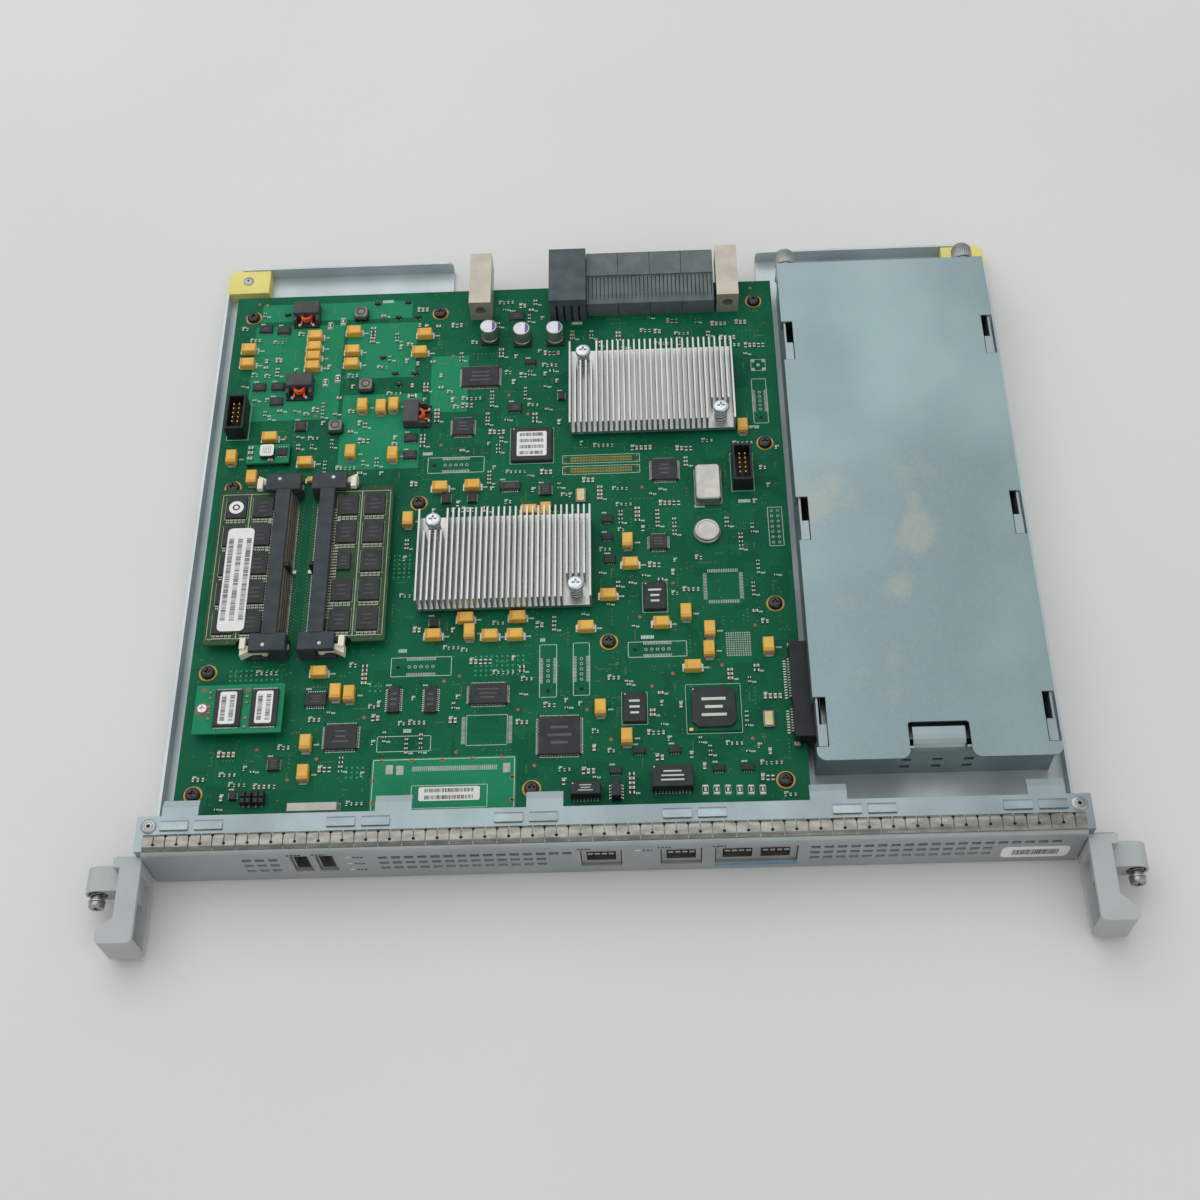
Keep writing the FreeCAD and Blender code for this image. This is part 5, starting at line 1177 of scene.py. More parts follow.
@dataclass
class PowerParts:
    """Capacitors, inductors and the round backup capacitor."""

    tab: float = 0.35
    can: float = 4.1
    block: float = 4.0
    extra: tuple[float, float] = (-139.6, 188.9)
    extra_size: tuple[float, float, float] = (5.0, 2.8, 2.3)

    def tantalums(self) -> None:
        """Make moulded bodies between end tabs, with a darker band over one end."""
        corner = np.array([self.extra[0], LINE + self.extra[1], BOARD_TOP])
        boxes = np.concatenate([islands("tantalum_capacitors"), [[corner, corner + self.extra_size]]])
        low, high = boxes[:, 0], boxes[:, 1]
        size = high - low
        long = np.where((size[:, 0] > size[:, 1])[:, None], [[1.0, 0, 0]], [[0, 1.0, 0]])
        inset = long * self.tab
        show("tantalum_bodies", blocks(low + inset + UP * 0.1, high - inset, 0.35), TANTALUM,
             "tantalum_capacitors")
        length, rim = (size * long).sum(axis=1)[:, None], (1 - long) * [0.4, 0.4, 0]
        stripe_low = low + inset + long * 0.5 + rim + UP * (size[:, 2:] - 0.02)
        stripe_high = high - long * (length - self.tab - 1.4) - rim + UP * 0.015
        show("tantalum_bands", blocks(stripe_low, stripe_high), BAND)
        narrow, drop = (1 - long) * size * [0.22, 0.22, 0], UP * size[:, 2:] * 0.45
        near_high = high - long * (length - self.tab) - narrow - drop
        far_low = low + long * (length - self.tab) + narrow
        tabs = blocks(low + narrow, near_high) + blocks(far_low, high - narrow - drop)
        edge, pad_top = narrow * 0.6, UP * (BOARD_TOP + 0.12)
        tabs += (blocks(low + edge - long * 0.7, near_high * FLAT + edge + pad_top)
                 + blocks(far_low * FLAT - edge + UP * BOARD_TOP,
                          (high - edge) * FLAT + long * 0.7 + pad_top))
        show("tantalum_tabs", tabs, TIN)

    def cans(self) -> None:
        """Turn the electrolytic cans with a pressed groove, on black feet, with two-tone tops."""
        cans, feet, tops, bands = [], [], [], []
        arc, wide = np.linspace(-1.05, 1.05, 10), self.can
        edge = spread(np.cos(arc), np.sin(arc), 0.0) * (wide - 0.62)
        for low, high in islands("electrolytic_capacitors"):
            base, tall = foot(low, high), high[2] - low[2]
            profile = [(wide - 0.3, 1), (wide, 1.3), (wide, 2.2), (wide - 0.35, 2.6), (wide, 3.0),
                       (wide, tall - 0.5), (wide - 0.15, tall - 0.12), (wide - 0.5, tall - 0.02)]
            cans.append(turned(profile, base, sides=32))
            feet.append(blocks(low, at_height(high, low[2] + 1.2), 0.3))
            tops.append(turned([(wide - 0.55, tall - 0.06), (wide - 0.6, tall - 0.01)], base, sides=32))
            bands.append(loft(np.stack([base + edge + UP * (tall - 0.03), base + edge + UP * tall])[None]))
        show("can_shells", joined(cans), CAN, "electrolytic_capacitors")
        show("can_feet", joined(feet), SHROUD)
        show("can_tops", joined(tops), CAP_TOP)
        show("can_bands", joined(bands), PURPLE)
        low, high = span("backup_capacitor")
        wide, tall = (high[0] - low[0]) / 2, high[2] - low[2]
        profile = [(wide - 0.2, 0), (wide, 0.2), (wide, tall * 0.45), (wide - 0.3, tall * 0.55),
                   (wide - 0.5, tall * 0.6), (wide - 0.5, tall - 0.3), (wide - 0.9, tall), (wide - 1.6, tall),
                   (wide - 1.8, tall - 0.25)]
        show("backup_can", turned(profile, foot(low, high), sides=40), CAN, "backup_capacitor")

    def block_coil(self, low: Array, high: Array) -> dict[str, Skin]:
        """Return a block inductor: a core over flat copper turns that are open to the front.

        Args:
            low: lowest corner
            high: highest corner

        Returns:
            its skins by the names of their pieces
        """
        size, middle, floor = high - low, (low + high) / 2, low[2] + 0.9
        open_to = low[1] + size[1] * 0.42
        core = [blocks([low[0] + 0.1, open_to, floor], high - [0.1, 0.1, 0.0], 0.35)]
        core += [blocks([x, low[1] + size[1] * 0.16, floor],
                        [x + 1.5, open_to + 0.1, low[2] + size[2] * 0.7], 0.2)
                 for x in (low[0] + 0.15, high[0] - 1.65)]
        turn = [(1.6, -0.1), (2.3, -0.32), (3.0, 0), (2.3, 0.32), (1.6, 0.1)]
        at = np.array([middle[0], open_to + 0.3, low[2] + 1.4]) + UP * np.arange(4)[:, None] * 0.75
        wires = [blocks([x - 0.45, low[1] + 0.9, low[2] + 1.5], [x + 0.45, open_to, low[2] + 2.1], 0.15)
                 for x in (middle[0] - 2.4, middle[0] + 2.4)]
        balls = spread([low[0] + size[0] * 0.24, high[0] - size[0] * 0.24], low[1] + 0.9, floor)
        dome = [(0.9, 0), (0.95, 0.35), (0.75, 0.85), (0.4, 1.1)]
        return {"cores": joined(core), "bases": blocks(low, at_height(high, floor), 0.15),
                "turns": joined([turned(turn, at, closed=True), *wires]),
                "ends": turned(dome, balls, sides=14)}

    def drum(self, low: Array, high: Array) -> dict[str, Skin]:
        """Return a small shielded inductor: a dark foot, a pewter shell and a round dark top.

        Args:
            low: lowest corner
            high: highest corner

        Returns:
            its skins by the names of their pieces
        """
        middle, half = (low + high) / 2, (high - low) / 2 * [0.9, 0.9, 1.0]
        low, high = middle - half, middle + half
        tall, wide = high[2] - low[2], half[0]
        shell = rounded(low + UP * tall * 0.38, high - UP * 0.05, wide * 0.5,
                        [(0.1, 0), (0.1, 0.7), (0.35, 0.92), (0.7, 1)])
        ring = [(wide * 0.42, 0), (wide * 0.66, 0), (wide * 0.62, 0.07), (wide * 0.42, 0.07)]
        return {"bases": rounded(low, high - UP * tall * 0.6, wide * 0.4), "drums": shell,
                "cores": turned(ring, at_height(middle, high[2] - 0.06), closed=True)}

    def coils(self) -> None:
        """Make the block inductors, the rightmost one open to the right, and the small drums."""
        boxes = islands("power_inductors")
        parts: dict[str, list[Skin]] = {}
        for low, high in boxes:
            tall = high[2] - low[2] > self.block
            turned_right = tall and low[0] == boxes[:, 0, 0].max()
            for name, skin in (self.block_coil(low, high) if tall else self.drum(low, high)).items():
                parts.setdefault(name, []).append(
                    skin.quarter_turn((low + high) / 2) if turned_right else skin)
        show("coil_cores", joined(parts["cores"]), FERRITE, "power_inductors")
        for name, finish in (("bases", SHROUD), ("turns", COPPER), ("ends", TIN), ("drums", DRUM)):
            show(f"coil_{name}", joined(parts[name]), finish)

    def build(self) -> None:
        """Make all the power parts."""
        self.tantalums()
        self.cans()
        self.coils()


@dataclass
class MemorySocket:
    """A memory socket: a slotted bar with a comb of contacts between two end blocks that hold the latches.

    Distances are measured from the line midway between the two sockets, and heights from the board.
    """

    side: str
    way: float
    bar: tuple[float, float] = (6.8, 13.6)
    block: tuple[float, float] = (2.6, 18.6)
    block_deep: float = 8.8
    pillar: float = 9.8
    sole: float = 1.8
    roof: float = 2.4
    comb: float = 2.0
    pitch: float = 0.9
    via: tuple[float, float, float] = (0.42, 0.42, 0.03)

    def __post_init__(self) -> None:
        """Read the socket's place from the frame."""
        self.low, self.high = span(f"{self.side}_memory_socket")
        self.middle = (span("left_memory_socket")[1][0] + span("right_memory_socket")[0][0]) / 2
        self.tall = self.high[2] - BOARD_TOP - 0.06
        self.start, self.end = self.low[1] + self.block_deep, self.high[1] - self.block_deep

    def run(self, profile: Profile) -> Skin:
        """Draw a profile along the bar.

        Args:
            profile: (distance, height) pairs

        Returns:
            the skin
        """
        flat = np.array(profile, float)
        ring = spread(self.middle + self.way * flat[:, 0], 0.0, flat[:, 1] + BOARD_TOP)
        return loft(np.stack([ring + [0, y, 0] for y in (self.start - 0.5, self.end + 0.5)])[None])

    def plate(self, near: float, far: float, ends: tuple[float, float], low: float, high: float,
              chamfer: float = 0.0) -> Skin:
        """Return a block between two distances, two places along Y and two heights."""
        x = sorted((self.middle + self.way * near, self.middle + self.way * far))
        return blocks([x[0], ends[0], BOARD_TOP + low], [x[1], ends[1], BOARD_TOP + high], chamfer)

    def row(self, distance: float, pitch: float, size: tuple[float, float, float],
            shift: float = 0.0) -> Skin:
        """Return small blocks in a row on the board along the bar."""
        y = np.arange(self.start + 2.0 + shift, self.end - 2.0, pitch)
        return standing(spread(self.middle + self.way * distance, y, BOARD_TOP), size)

    def body(self) -> Skin:
        """Make the body.

        Returns:
            the bar, whose slot takes the module's edge, and the end blocks with room for the latches
        """
        near, far = self.bar
        plate_low, plate_high = (value[2] - BOARD_TOP for value in span(f"{self.side}_memory_module"))
        under, over, deep = plate_low - 0.02, plate_high + 0.02, far - 3.6
        skin = self.run([(far, 0), (near, 0), (near, self.tall - 0.3), (near + 0.3, self.tall),
                         (far - 0.3, self.tall), (far, self.tall - 0.3), (far, over), (far - 0.3, over),
                         (deep, over), (deep, (under + over) / 2), (deep, under), (far, under)])
        inner, outer = self.block
        for ends in ((self.low[1], self.start), (self.end, self.high[1])):
            skin += self.plate(inner, outer, ends, 0.0, self.sole)
            skin += self.plate(inner, self.pillar, ends, self.sole, self.tall - self.roof)
            skin += self.plate(inner, outer, ends, self.tall - self.roof, self.tall, 0.3)
        return skin

    def build(self) -> dict[str, Skin]:
        """Make the body.

        Returns:
            the details that both sockets share, by the names of their pieces
        """
        show(f"{self.side}_socket_body", self.body(), SOCKET, f"{self.side}_memory_socket")
        near, toe, top = self.bar[0], self.bar[0] - self.comb, self.tall - 1.3
        comb = self.run([(near + 0.1, 0), (toe, 0), (toe, 0.6), (near + 0.1, top)])
        strip = ((0.1, 0), (-0.08, 0), (-0.08, 0.45), (0.1, 0.45))
        lines = [self.run([(toe + self.comb * share + step, 0.6 + (top - 0.6) * share + rise)
                           for step, rise in strip]) for share in (0.2, 0.45, 0.7)]
        centre = (self.start + self.end) / 2 - 2.0
        lines.append(self.plate(toe - 0.3, near + 0.1, (centre - 1.2, centre + 1.2), 0.0,
                                self.tall - 0.8, 0.2))
        tabs = self.plate(toe - 2.2, toe - 0.3, (centre - 0.9, centre + 0.9), 0.0, 1.2, 0.1)
        for y in (self.low[1] + self.block_deep / 2, self.high[1] - self.block_deep / 2):
            tabs += self.plate(self.block[0] - 0.5, self.block[0] + 0.1, (y - 1.4, y + 1.4), 0.0, 4.0)
        tabs += self.row(toe - 0.3, self.pitch, (0.9, 0.36, 0.16))
        vias = self.row(toe - 1.6, 1.8, self.via) + self.row(toe - 2.6, 1.8, self.via, 0.9)
        return {"combs": comb, "lines": joined(lines), "tails": tabs, "vias": vias}


@dataclass
class Memory:
    """Small parts and printed lines of the memory modules and the flash card."""

    chip_wide: tuple[float, float] = (8.0, 9.5)
    flash_wide: float = 10.0

    def parts(self) -> tuple[Skin, Skin, Skin]:
        """Make the small parts between the memory chips and beside the sockets.

        Returns:
            bodies, tinned ends and ink lines
        """
        boxes = islands("memory_chips")
        wide = boxes[:, 1, 0] - boxes[:, 0, 0]
        large = boxes[(wide > self.chip_wide[0]) & (wide < self.chip_wide[1])]
        middle, front = large.mean(axis=1), large[:, 0, 1]
        spots = [spread(middle[:, 0] + step, front - back, large[:, 0, 2])
                 for back in (1.0, 2.2) for step in (-3.6, -1.8, 0.0, 1.8, 3.6)]
        lines, rim, edge = [], np.array([1.2, 2.7, 0.0]), FLAT * 0.5
        for side, way in (("left", -1.0), ("right", 1.0)):
            low, high = span(f"{side}_memory_module")
            socket = span(f"{side}_memory_socket")[0 if way < 0 else 1][0]
            y = np.arange(low[1] + 12.0, high[1] - 12.0, 1.5)
            spots += [spread(socket + way * step, y, high[2]) for step in (-2.9, -4.4)]
            inside = large[(middle[:, 0] > low[0]) & (middle[:, 0] < high[0])]
            gap = (inside[:, 0, 0].max() + inside[:, 1, 0].min()) / 2
            line = np.array([gap, (low[1] + high[1]) / 2, high[2]])
            lines += [standing(line, (0.45, high[1] - low[1] - 6, 0.03)),
                      frames(low + rim + UP * (high[2] - low[2]), high - rim + UP * 0.03, 0.3)]
        at = np.concatenate(spots)
        lines.append(frames(large[:, 0] - edge,
                            large[:, 1] * FLAT + edge + UP * (large[:, :1, 2] + 0.03), 0.2))
        return standing(at, (0.6, 0.7, 0.4), 0.06), ends_of(at, 0.45, (0.3, 0.7, 0.42)), joined(lines)

    def card(self) -> tuple[Skin, Skin, Skin]:
        """Make the details of the flash card.

        Returns:
            its chips' leads, its small parts, and the copper round its screw and holes
        """
        boxes = islands("memory_chips")
        chips = boxes[boxes[:, 1, 0] - boxes[:, 0, 0] > self.flash_wide]
        low, high = span("flash_module")
        rows = []
        for chip_low, chip_high in chips:
            x = np.arange(chip_low[0] + 0.7, chip_high[0] - 0.5, 0.62)
            rows += [standing(spread(x, y, high[2]), (0.34, 0.9, 0.3))
                     for y in (chip_low[1] - 0.35, chip_high[1] + 0.35)]
        left, between = low[0] + 6.4, (chips[:, 0, 0].max() + chips[:, 1, 0].min()) / 2
        columns = ((left, (0.3, 0.42, 0.54, 0.72, 0.84)), (between, (0.12, 0.3, 0.62, 0.74)))
        spots = [spread(x, low[1] + np.array(shares) * (high[1] - low[1]), high[2]) for x, shares in columns]
        screw = at_height(np.mean(span("flash_fixing"), axis=0), high[2])
        holes = spread([low[0] + 3.4, between], [high[1] - 2.4, high[1] - 2.6], high[2])
        copper = washers(2.0, 3.1, 0.05, screw, 24) + washers(0.5, 1.0, 0.05, holes, 12)
        return joined(rows), standing(np.concatenate(spots), (1.3, 0.8, 0.6), 0.08), copper

    def build(self) -> None:
        """Make the small parts, the lines and the card's details."""
        names = ("module_capacitors", "module_capacitor_ends", "module_lines", "flash_chip_leads",
                 "flash_card_parts", "flash_card_copper")
        finishes = (CERAMIC, TIN, LINE_INK, TIN, CERAMIC, VIA)
        for name, skin, finish in zip(names, self.parts() + self.card(), finishes):
            show(name, skin, finish)


@dataclass
class ConverterBoard:
    """The small upright converter: a green card on two feet with a choke, a chip and capacitors."""

    foot: float = 2.0
    thick: float = 1.2
    choke: float = 6.6

    def build(self) -> None:
        """Make the card and its parts from the node's box."""
        low, high = span("converter_board")
        middle = (low + high) / 2
        card_low, card_high = low + UP * self.foot, at_height(high, low[2] + self.foot + self.thick)
        show("converter_card", blocks(card_low, card_high, 0.1), POUR, "converter_board")
        feet = [blocks([x, low[1], low[2]], [x + self.foot, high[1], card_low[2] + 0.02])
                for x in (low[0], high[0] - self.foot)]
        show("converter_feet", joined(feet), SHROUD)
        top, half, centre = card_high[2], FLAT * self.choke / 2, middle * FLAT
        chip = np.array([high[0] - 3.3, middle[1] + 0.6, top])
        body = rounded(centre - half + UP * top, centre + half + UP * (high[2] - 0.35), 0.9)
        show("converter_blocks", body + standing(chip, (4.6, 4.4, 1.0), 0.15), PACKAGE)
        lid = rounded(centre - half + [0.05, 0.05, high[2] - 0.36],
                      centre + half - [0.05, 0.05, -high[2]], 1.2, [(0, 0), (0, 0.6), (0.15, 1)])
        show("converter_lid", lid, PAPER)
        grid = lattice(np.arange(-2, 3), np.arange(-2, 3)) * 0.85
        show("converter_dots", discs(0.26, 0.03, plan(centre[:2] + grid, high[2] - 0.01), 6), ETCH)
        spots = spread(np.append(np.full(3, low[0] + 1.9), middle[0] + 1.6),
                       np.append(middle[1] + np.array([3.0, 0.2, -3.0]), low[1] + 1.2), top)
        show("converter_capacitors", standing(spots, (1.3, 1.5, 1.1), 0.12), CERAMIC)
        ends = ends_of(spots, 0.85, (0.5, 1.5, 1.12))
        for edge in (-2.5, 2.5):
            ends += standing(spread(chip[0] + np.linspace(-1.7, 1.7, 4), chip[1] + edge, top),
                             (0.5, 1.0, 0.3))
        show("converter_ends", ends, TIN)


@dataclass
class Clocks:
    """The tall oscillator can and the low crystals."""

    tall: float = 3.0

    def build(self) -> None:
        """Make cans with round corners on a flange, and crystals with a gold lid."""
        cans, lids, seats = [], [], []
        for low, high in islands("oscillators"):
            if high[2] - low[2] > self.tall:
                seats.append(rounded(low, at_height(high, low[2] + 0.7), 1.6))
                cans.append(rounded(low + [0.5, 0.5, 0.6], high - [0.5, 0.5, 0.0], 2.0,
                                    [(0, 0), (0, 0.78), (0.2, 0.93), (0.7, 1)], 7))
            else:
                seats.append(rounded(low, high - UP * 0.4, 0.6))
                lids.append(rounded(low + [0.45, 0.45, 0.2], high - [0.45, 0.45, 0.0], 0.6,
                                    [(0, 0), (0, 0.8), (0.2, 1)]))
        show("clock_cans", joined(cans), CAN, "oscillators")
        show("clock_lids", joined(lids), CRYSTAL)
        show("clock_seats", joined(seats), DRUM)


@dataclass
class ConnectorDetail:
    """Leads, clips, seams and pins of the connectors on the board."""

    lead_pitch: float = 1.27
    tall: float = 6.0
    display_wide: float = 10.0

    def drive_leads(self) -> Skin:
        """Make the drive connector's leads.

        Returns:
            two groups of bent leads along its inner side
        """
        low, high = span("drive_connector")
        y = np.arange(low[1] + 5.0, high[1] - 5.0, self.lead_pitch)
        share = (y - low[1]) / (high[1] - low[1])
        y = y[(share < 0.36) | (share > 0.46)]
        return leads(spread(low[0], y, BOARD_TOP), np.tile([-1.0, 0.0], (len(y), 1)), 0.55, 2.6, 2.0)

    def seams(self) -> Skin:
        """Draw the gaps between the four signal connectors.

        Returns:
            dark lines over their tops and down their fronts
        """
        low, high = span("signal_connectors")
        at = spread(low[0] + (high[0] - low[0]) * np.arange(1, 4) / 4, 0.0, 0.0)
        line = np.array([0.12, 0.0, 0.0])
        rear = blocks(at - line + [0, high[1] - 14.4, high[2] - 0.1],
                      at + line + [0, high[1], high[2] + 0.02])
        return rear + blocks(at - line + [0, low[1] - 0.03, low[2]],
                             at + line + [0, low[1] + 0.1, high[2] - 3.0])

    def build(self) -> None:
        """Make the leads, the clips, the seams, the header pins and the display connector's shell."""
        low, high = span("drive_connector")
        clips = spread(low[0] + 1.0, [low[1] - 0.9, high[1] + 0.9], BOARD_TOP)
        show("drive_leads", self.drive_leads() + standing(clips, (2.6, 1.8, 2.2), 0.3), TIN)
        show("connector_seams", self.seams(), HOLE)
        pins, grid = [], lattice([-1.27, 1.27], np.arange(-2, 3) * 2.54)
        for low, high in islands("board_headers"):
            if high[2] - low[2] > self.tall:
                middle = (low + high) / 2
                pins.append(standing(plan(middle[:2] + grid, low[2] + 2.0), (0.7, 0.7, 5.75), 0.12))
            elif high[0] - low[0] > self.display_wide:
                shell = blocks(low - [0.06, 0.06, 0.0], high + [0.06, 0.06, 0.06], 0.3)
                show("display_connector", shell, GREY_PLASTIC)
                row = spread(np.linspace(low[0] + 1.5, high[0] - 1.5, 18), high[1] + 0.4, BOARD_TOP)
                show("display_leads", standing(row, (0.4, 1.4, 0.25)), TIN)
        show("header_pins", joined(pins), GOLD)


@dataclass
class Label:
    """A paper label with barcode-like bars."""

    name: str
    low: tuple[float, float, float]
    high: tuple[float, float, float]
    rows: int = 2
    upright: bool = False
    corner: float = 0.9

    def build(self) -> tuple[Skin, Skin]:
        """Make the label; bar widths come from a seeded generator.

        Returns:
            the paper and its bars
        """
        low, high = np.array(self.low), np.array(self.high)
        chance = np.random.default_rng(len(self.name))
        run, rise = (1, 0) if self.upright else (0, 1)
        size = high - low
        count = max(int(size[run] / 0.7), 6)
        start = low[run] + size[run] * 0.1 + np.arange(count) * size[run] * 0.8 / count
        bars = []
        for row in range(self.rows):
            bar_low, bar_high = np.tile(low, (count, 1)), np.tile(high, (count, 1))
            bar_low[:, run] = start
            bar_high[:, run] = start + chance.uniform(0.25, 0.8, count) * size[run] * 0.8 / count
            bar_low[:, rise] = low[rise] + size[rise] * (row + 0.22) / self.rows
            bar_high[:, rise] = low[rise] + size[rise] * (row + 0.78) / self.rows
            bar_low[:, 2], bar_high[:, 2] = high[2] - 0.01, high[2] + 0.012
            bars.append(blocks(bar_low, bar_high))
        return rounded(low, high, self.corner), joined(bars)


@dataclass
class Labels:
    """All the paper labels on chips, modules and board."""

    thick: float = 0.07
    flash_wide: float = 10.0
    dot: float = 3.4
    place: tuple[float, float] = (-80.2, 26.6)
    size: tuple[float, float, float] = (25.6, 6.3, 0.0)

    def on_top(self, name: str, low: Array, high: Array, rows: int, upright: bool = False) -> Label:
        """Return a label that lies on top of a box."""
        return Label(name, (low[0], low[1], high[2]), (high[0], high[1], high[2] + self.thick), rows, upright)

    def build(self) -> None:
        """Stick labels on the flash chips, the left memory module, one array package and the board."""
        chips = islands("memory_chips")
        width = chips[:, 1, 0] - chips[:, 0, 0]
        labels = [self.on_top(f"flash_{index}", low + [2.2, 1.0, 0], high - [2.2, 1.0, 0], 2, True)
                  for index, (low, high) in enumerate(chips[width > self.flash_wide])]
        outer = chips[np.abs(chips[:, 0, 0] - chips[width < self.flash_wide][:, 0, 0].min()) < 0.5]
        low, high = outer[:, 0].min(axis=0), outer[:, 1].max(axis=0)
        strip = self.on_top("memory_strip", low + [2.4, 1.0, 0], high + [5.0, -17.0, 0], 3, True)
        arrays = islands("grid_array_packages")
        low, high = arrays[np.argmax(arrays[:, 0, 1])]
        patch = np.array([self.place[0], LINE + self.place[1], BOARD_TOP + 0.1])
        labels += [replace(strip, corner=2.2),
                   self.on_top("array", low + [2.5, 2.5, 0], high - [2.5, 2.5, 0], 4),
                   self.on_top("board", patch, patch + self.size, 2)]
        papers, bars = zip(*(label.build() for label in labels))
        dot = at_height(outer[np.argmax(outer[:, 1, 1])].mean(axis=0), outer[0, 1, 2])
        show("label_papers", joined([*papers, discs(self.dot, self.thick, dot, 28)]), PAPER)
        show("label_bars", joined([*bars, washers(1.0, 1.7, 0.02, dot + UP * self.thick, 20)]), PRINT)


TEST_POINTS = ((16.2, 181.3), (28.8, 129.1), (13.8, 112.1), (63.9, 106.4), (48.6, 87.0), (27.3, 83.5),
               (18.2, 77.7), (-64.9, 85.1), (-71.5, 82.9), (-39.3, 68.1), (-9.8, 67.2), (59.8, 51.6),
               (-65.2, 48.8), (-32.0, 41.7), (0.3, 52.8), (-150.0, 52.3), (-124.3, 47.3), (-135.9, 37.9),
               (-105.2, 66.3), (-82.6, 66.1), (-172.1, 298.8), (-168.1, 298.1), (-73.8, 262.0),
               (-138.4, 228.3), (-151.9, 216.2), (-77.7, 208.8), (67.7, 296.7), (72.3, 298.7),
               (-46.3, 236.9), (-37.0, 225.4))
SHUNTS = ((-135.3, 283.3, False), (-129.1, 285.7, False), (-135.2, 247.9, False), (-129.4, 250.2, False),
          (-92.6, 238.1, True), (39.0, 28.5, False), (43.7, 28.4, False), (48.4, 28.3, False),
          (53.2, 28.1, False), (57.9, 28.0, False), (62.7, 27.9, False))
TRANSISTORS = ((-112.5, 296.3), (-97.3, 296.5), (-157.1, 291.1), (-99.5, 245.2), (-101.7, 287.0),
               (-92.1, 287.0), (-101.6, 252.0), (-92.1, 251.6), (-150.0, 282.0), (-142.0, 238.0),
               (-108.0, 262.0), (-86.0, 270.0))
LARGE_CHIPS = ((-90.9, 281.5), (-81.6, 280.5), (-90.8, 257.5), (-83.5, 258.3), (-79.2, 249.7),
               (-78.9, 242.5), (-92.9, 244.2), (-127.8, 238.2), (-165.0, 262.0), (-165.0, 258.0),
               (-120.0, 290.0), (-117.0, 290.0))
FILTERS = ((-158.4, 34.9), (-152.1, 29.2), (-146.7, 29.1))
TENTED = ((-58.0, 85.2, -36.3, 95.3), (-165.0, 83.6, -143.6, 92.6), (-96.3, 136.2, -88.8, 149.3),
          (-111.1, 38.2, -102.0, 43.0), (-103.4, 79.0, -98.6, 83.5))
POURS = ((-172, 226, -128, 284), (-126, 250, -92, 284), (-126, 196, -88, 240), (-170, 287, -95, 298), PATCH,
         (-84, 228, -66, 262))
PATCH_HOLES = ((-96.3, 45.5), (-83.7, 45.6), (-71.0, 45.5), (-57.9, 45.6), (-45.4, 45.6), (-41.2, 36.6),
               (-41.1, 26.3), (-99.6, 36.5), (-99.6, 26.1))
BARE_CONNECTORS = ((-95.0, 85.5, -68.5, 95.0), (-30.3, 73.5, -22.7, 99.5), (-15.7, 74.0, -8.5, 100.0),
                   (8.2, 91.8, 33.8, 99.6), (-83.5, 192.5, -57.0, 201.5), (69.6, 215.5, 76.6, 241.9))
TITLES = ((-92, 97.5, 7), (-86, 203.0, 8), (-30, 101.0, 4), (14, 101.0, 9), (67, 212.6, 8), (-110, 297, 9),
          (40, 169.0, 8), (-88, 58.5, 6), (-16, 279, 9), (60, 171, 9))


class FreeBoard:
    """A half-millimetre map of the board's free upper face."""

    CELL = 0.5

    def __init__(self) -> None:
        """Mark what stands on the board or hangs close above it, and the board's edges."""
        self.low = BOARD_LOW[:2]
        shape = np.ceil((BOARD_HIGH[:2] - self.low) / self.CELL).astype(int)
        self.taken = np.zeros(shape, dtype=bool)
        self.taken[:6], self.taken[-6:], self.taken[:, -6:], self.taken[:, :28] = True, True, True, True
        for node in frame["nodes"]:
            for low, high in islands(node):
                if (node not in ("main_board", "base_tray") and high[2] > BOARD_TOP + 0.1
                        and low[2] < BOARD_TOP + 17):
                    self.mark(low[:2] - 0.9, high[:2] + 0.9)

    def cells(self, low: Array, high: Array) -> tuple[slice, slice]:
        """Find the cells that a rectangle covers.

        Args:
            low: its corner with the lowest X and Y
            high: its corner with the highest X and Y

        Returns:
            slices of the map
        """
        start = np.maximum(np.floor((low - self.low) / self.CELL).astype(int), 0)
        end = np.maximum(np.ceil((high - self.low) / self.CELL).astype(int), 0)
        return slice(start[0], end[0]), slice(start[1], end[1])

    def mark(self, low: Array, high: Array) -> None:
        """Mark a rectangle as taken."""
        self.taken[self.cells(low, high)] = True

    def take(self, low: Array, high: Array) -> bool:
        """Mark a rectangle if all of it is free.

        Args:
            low: its corner with the lowest X and Y
            high: its corner with the highest X and Y

        Returns:
            whether it was free
        """
        inside = (low > self.low).all() and (high < BOARD_HIGH[:2]).all()
        if not inside or self.taken[self.cells(low, high)].any():
            return False
        self.mark(low, high)
        return True


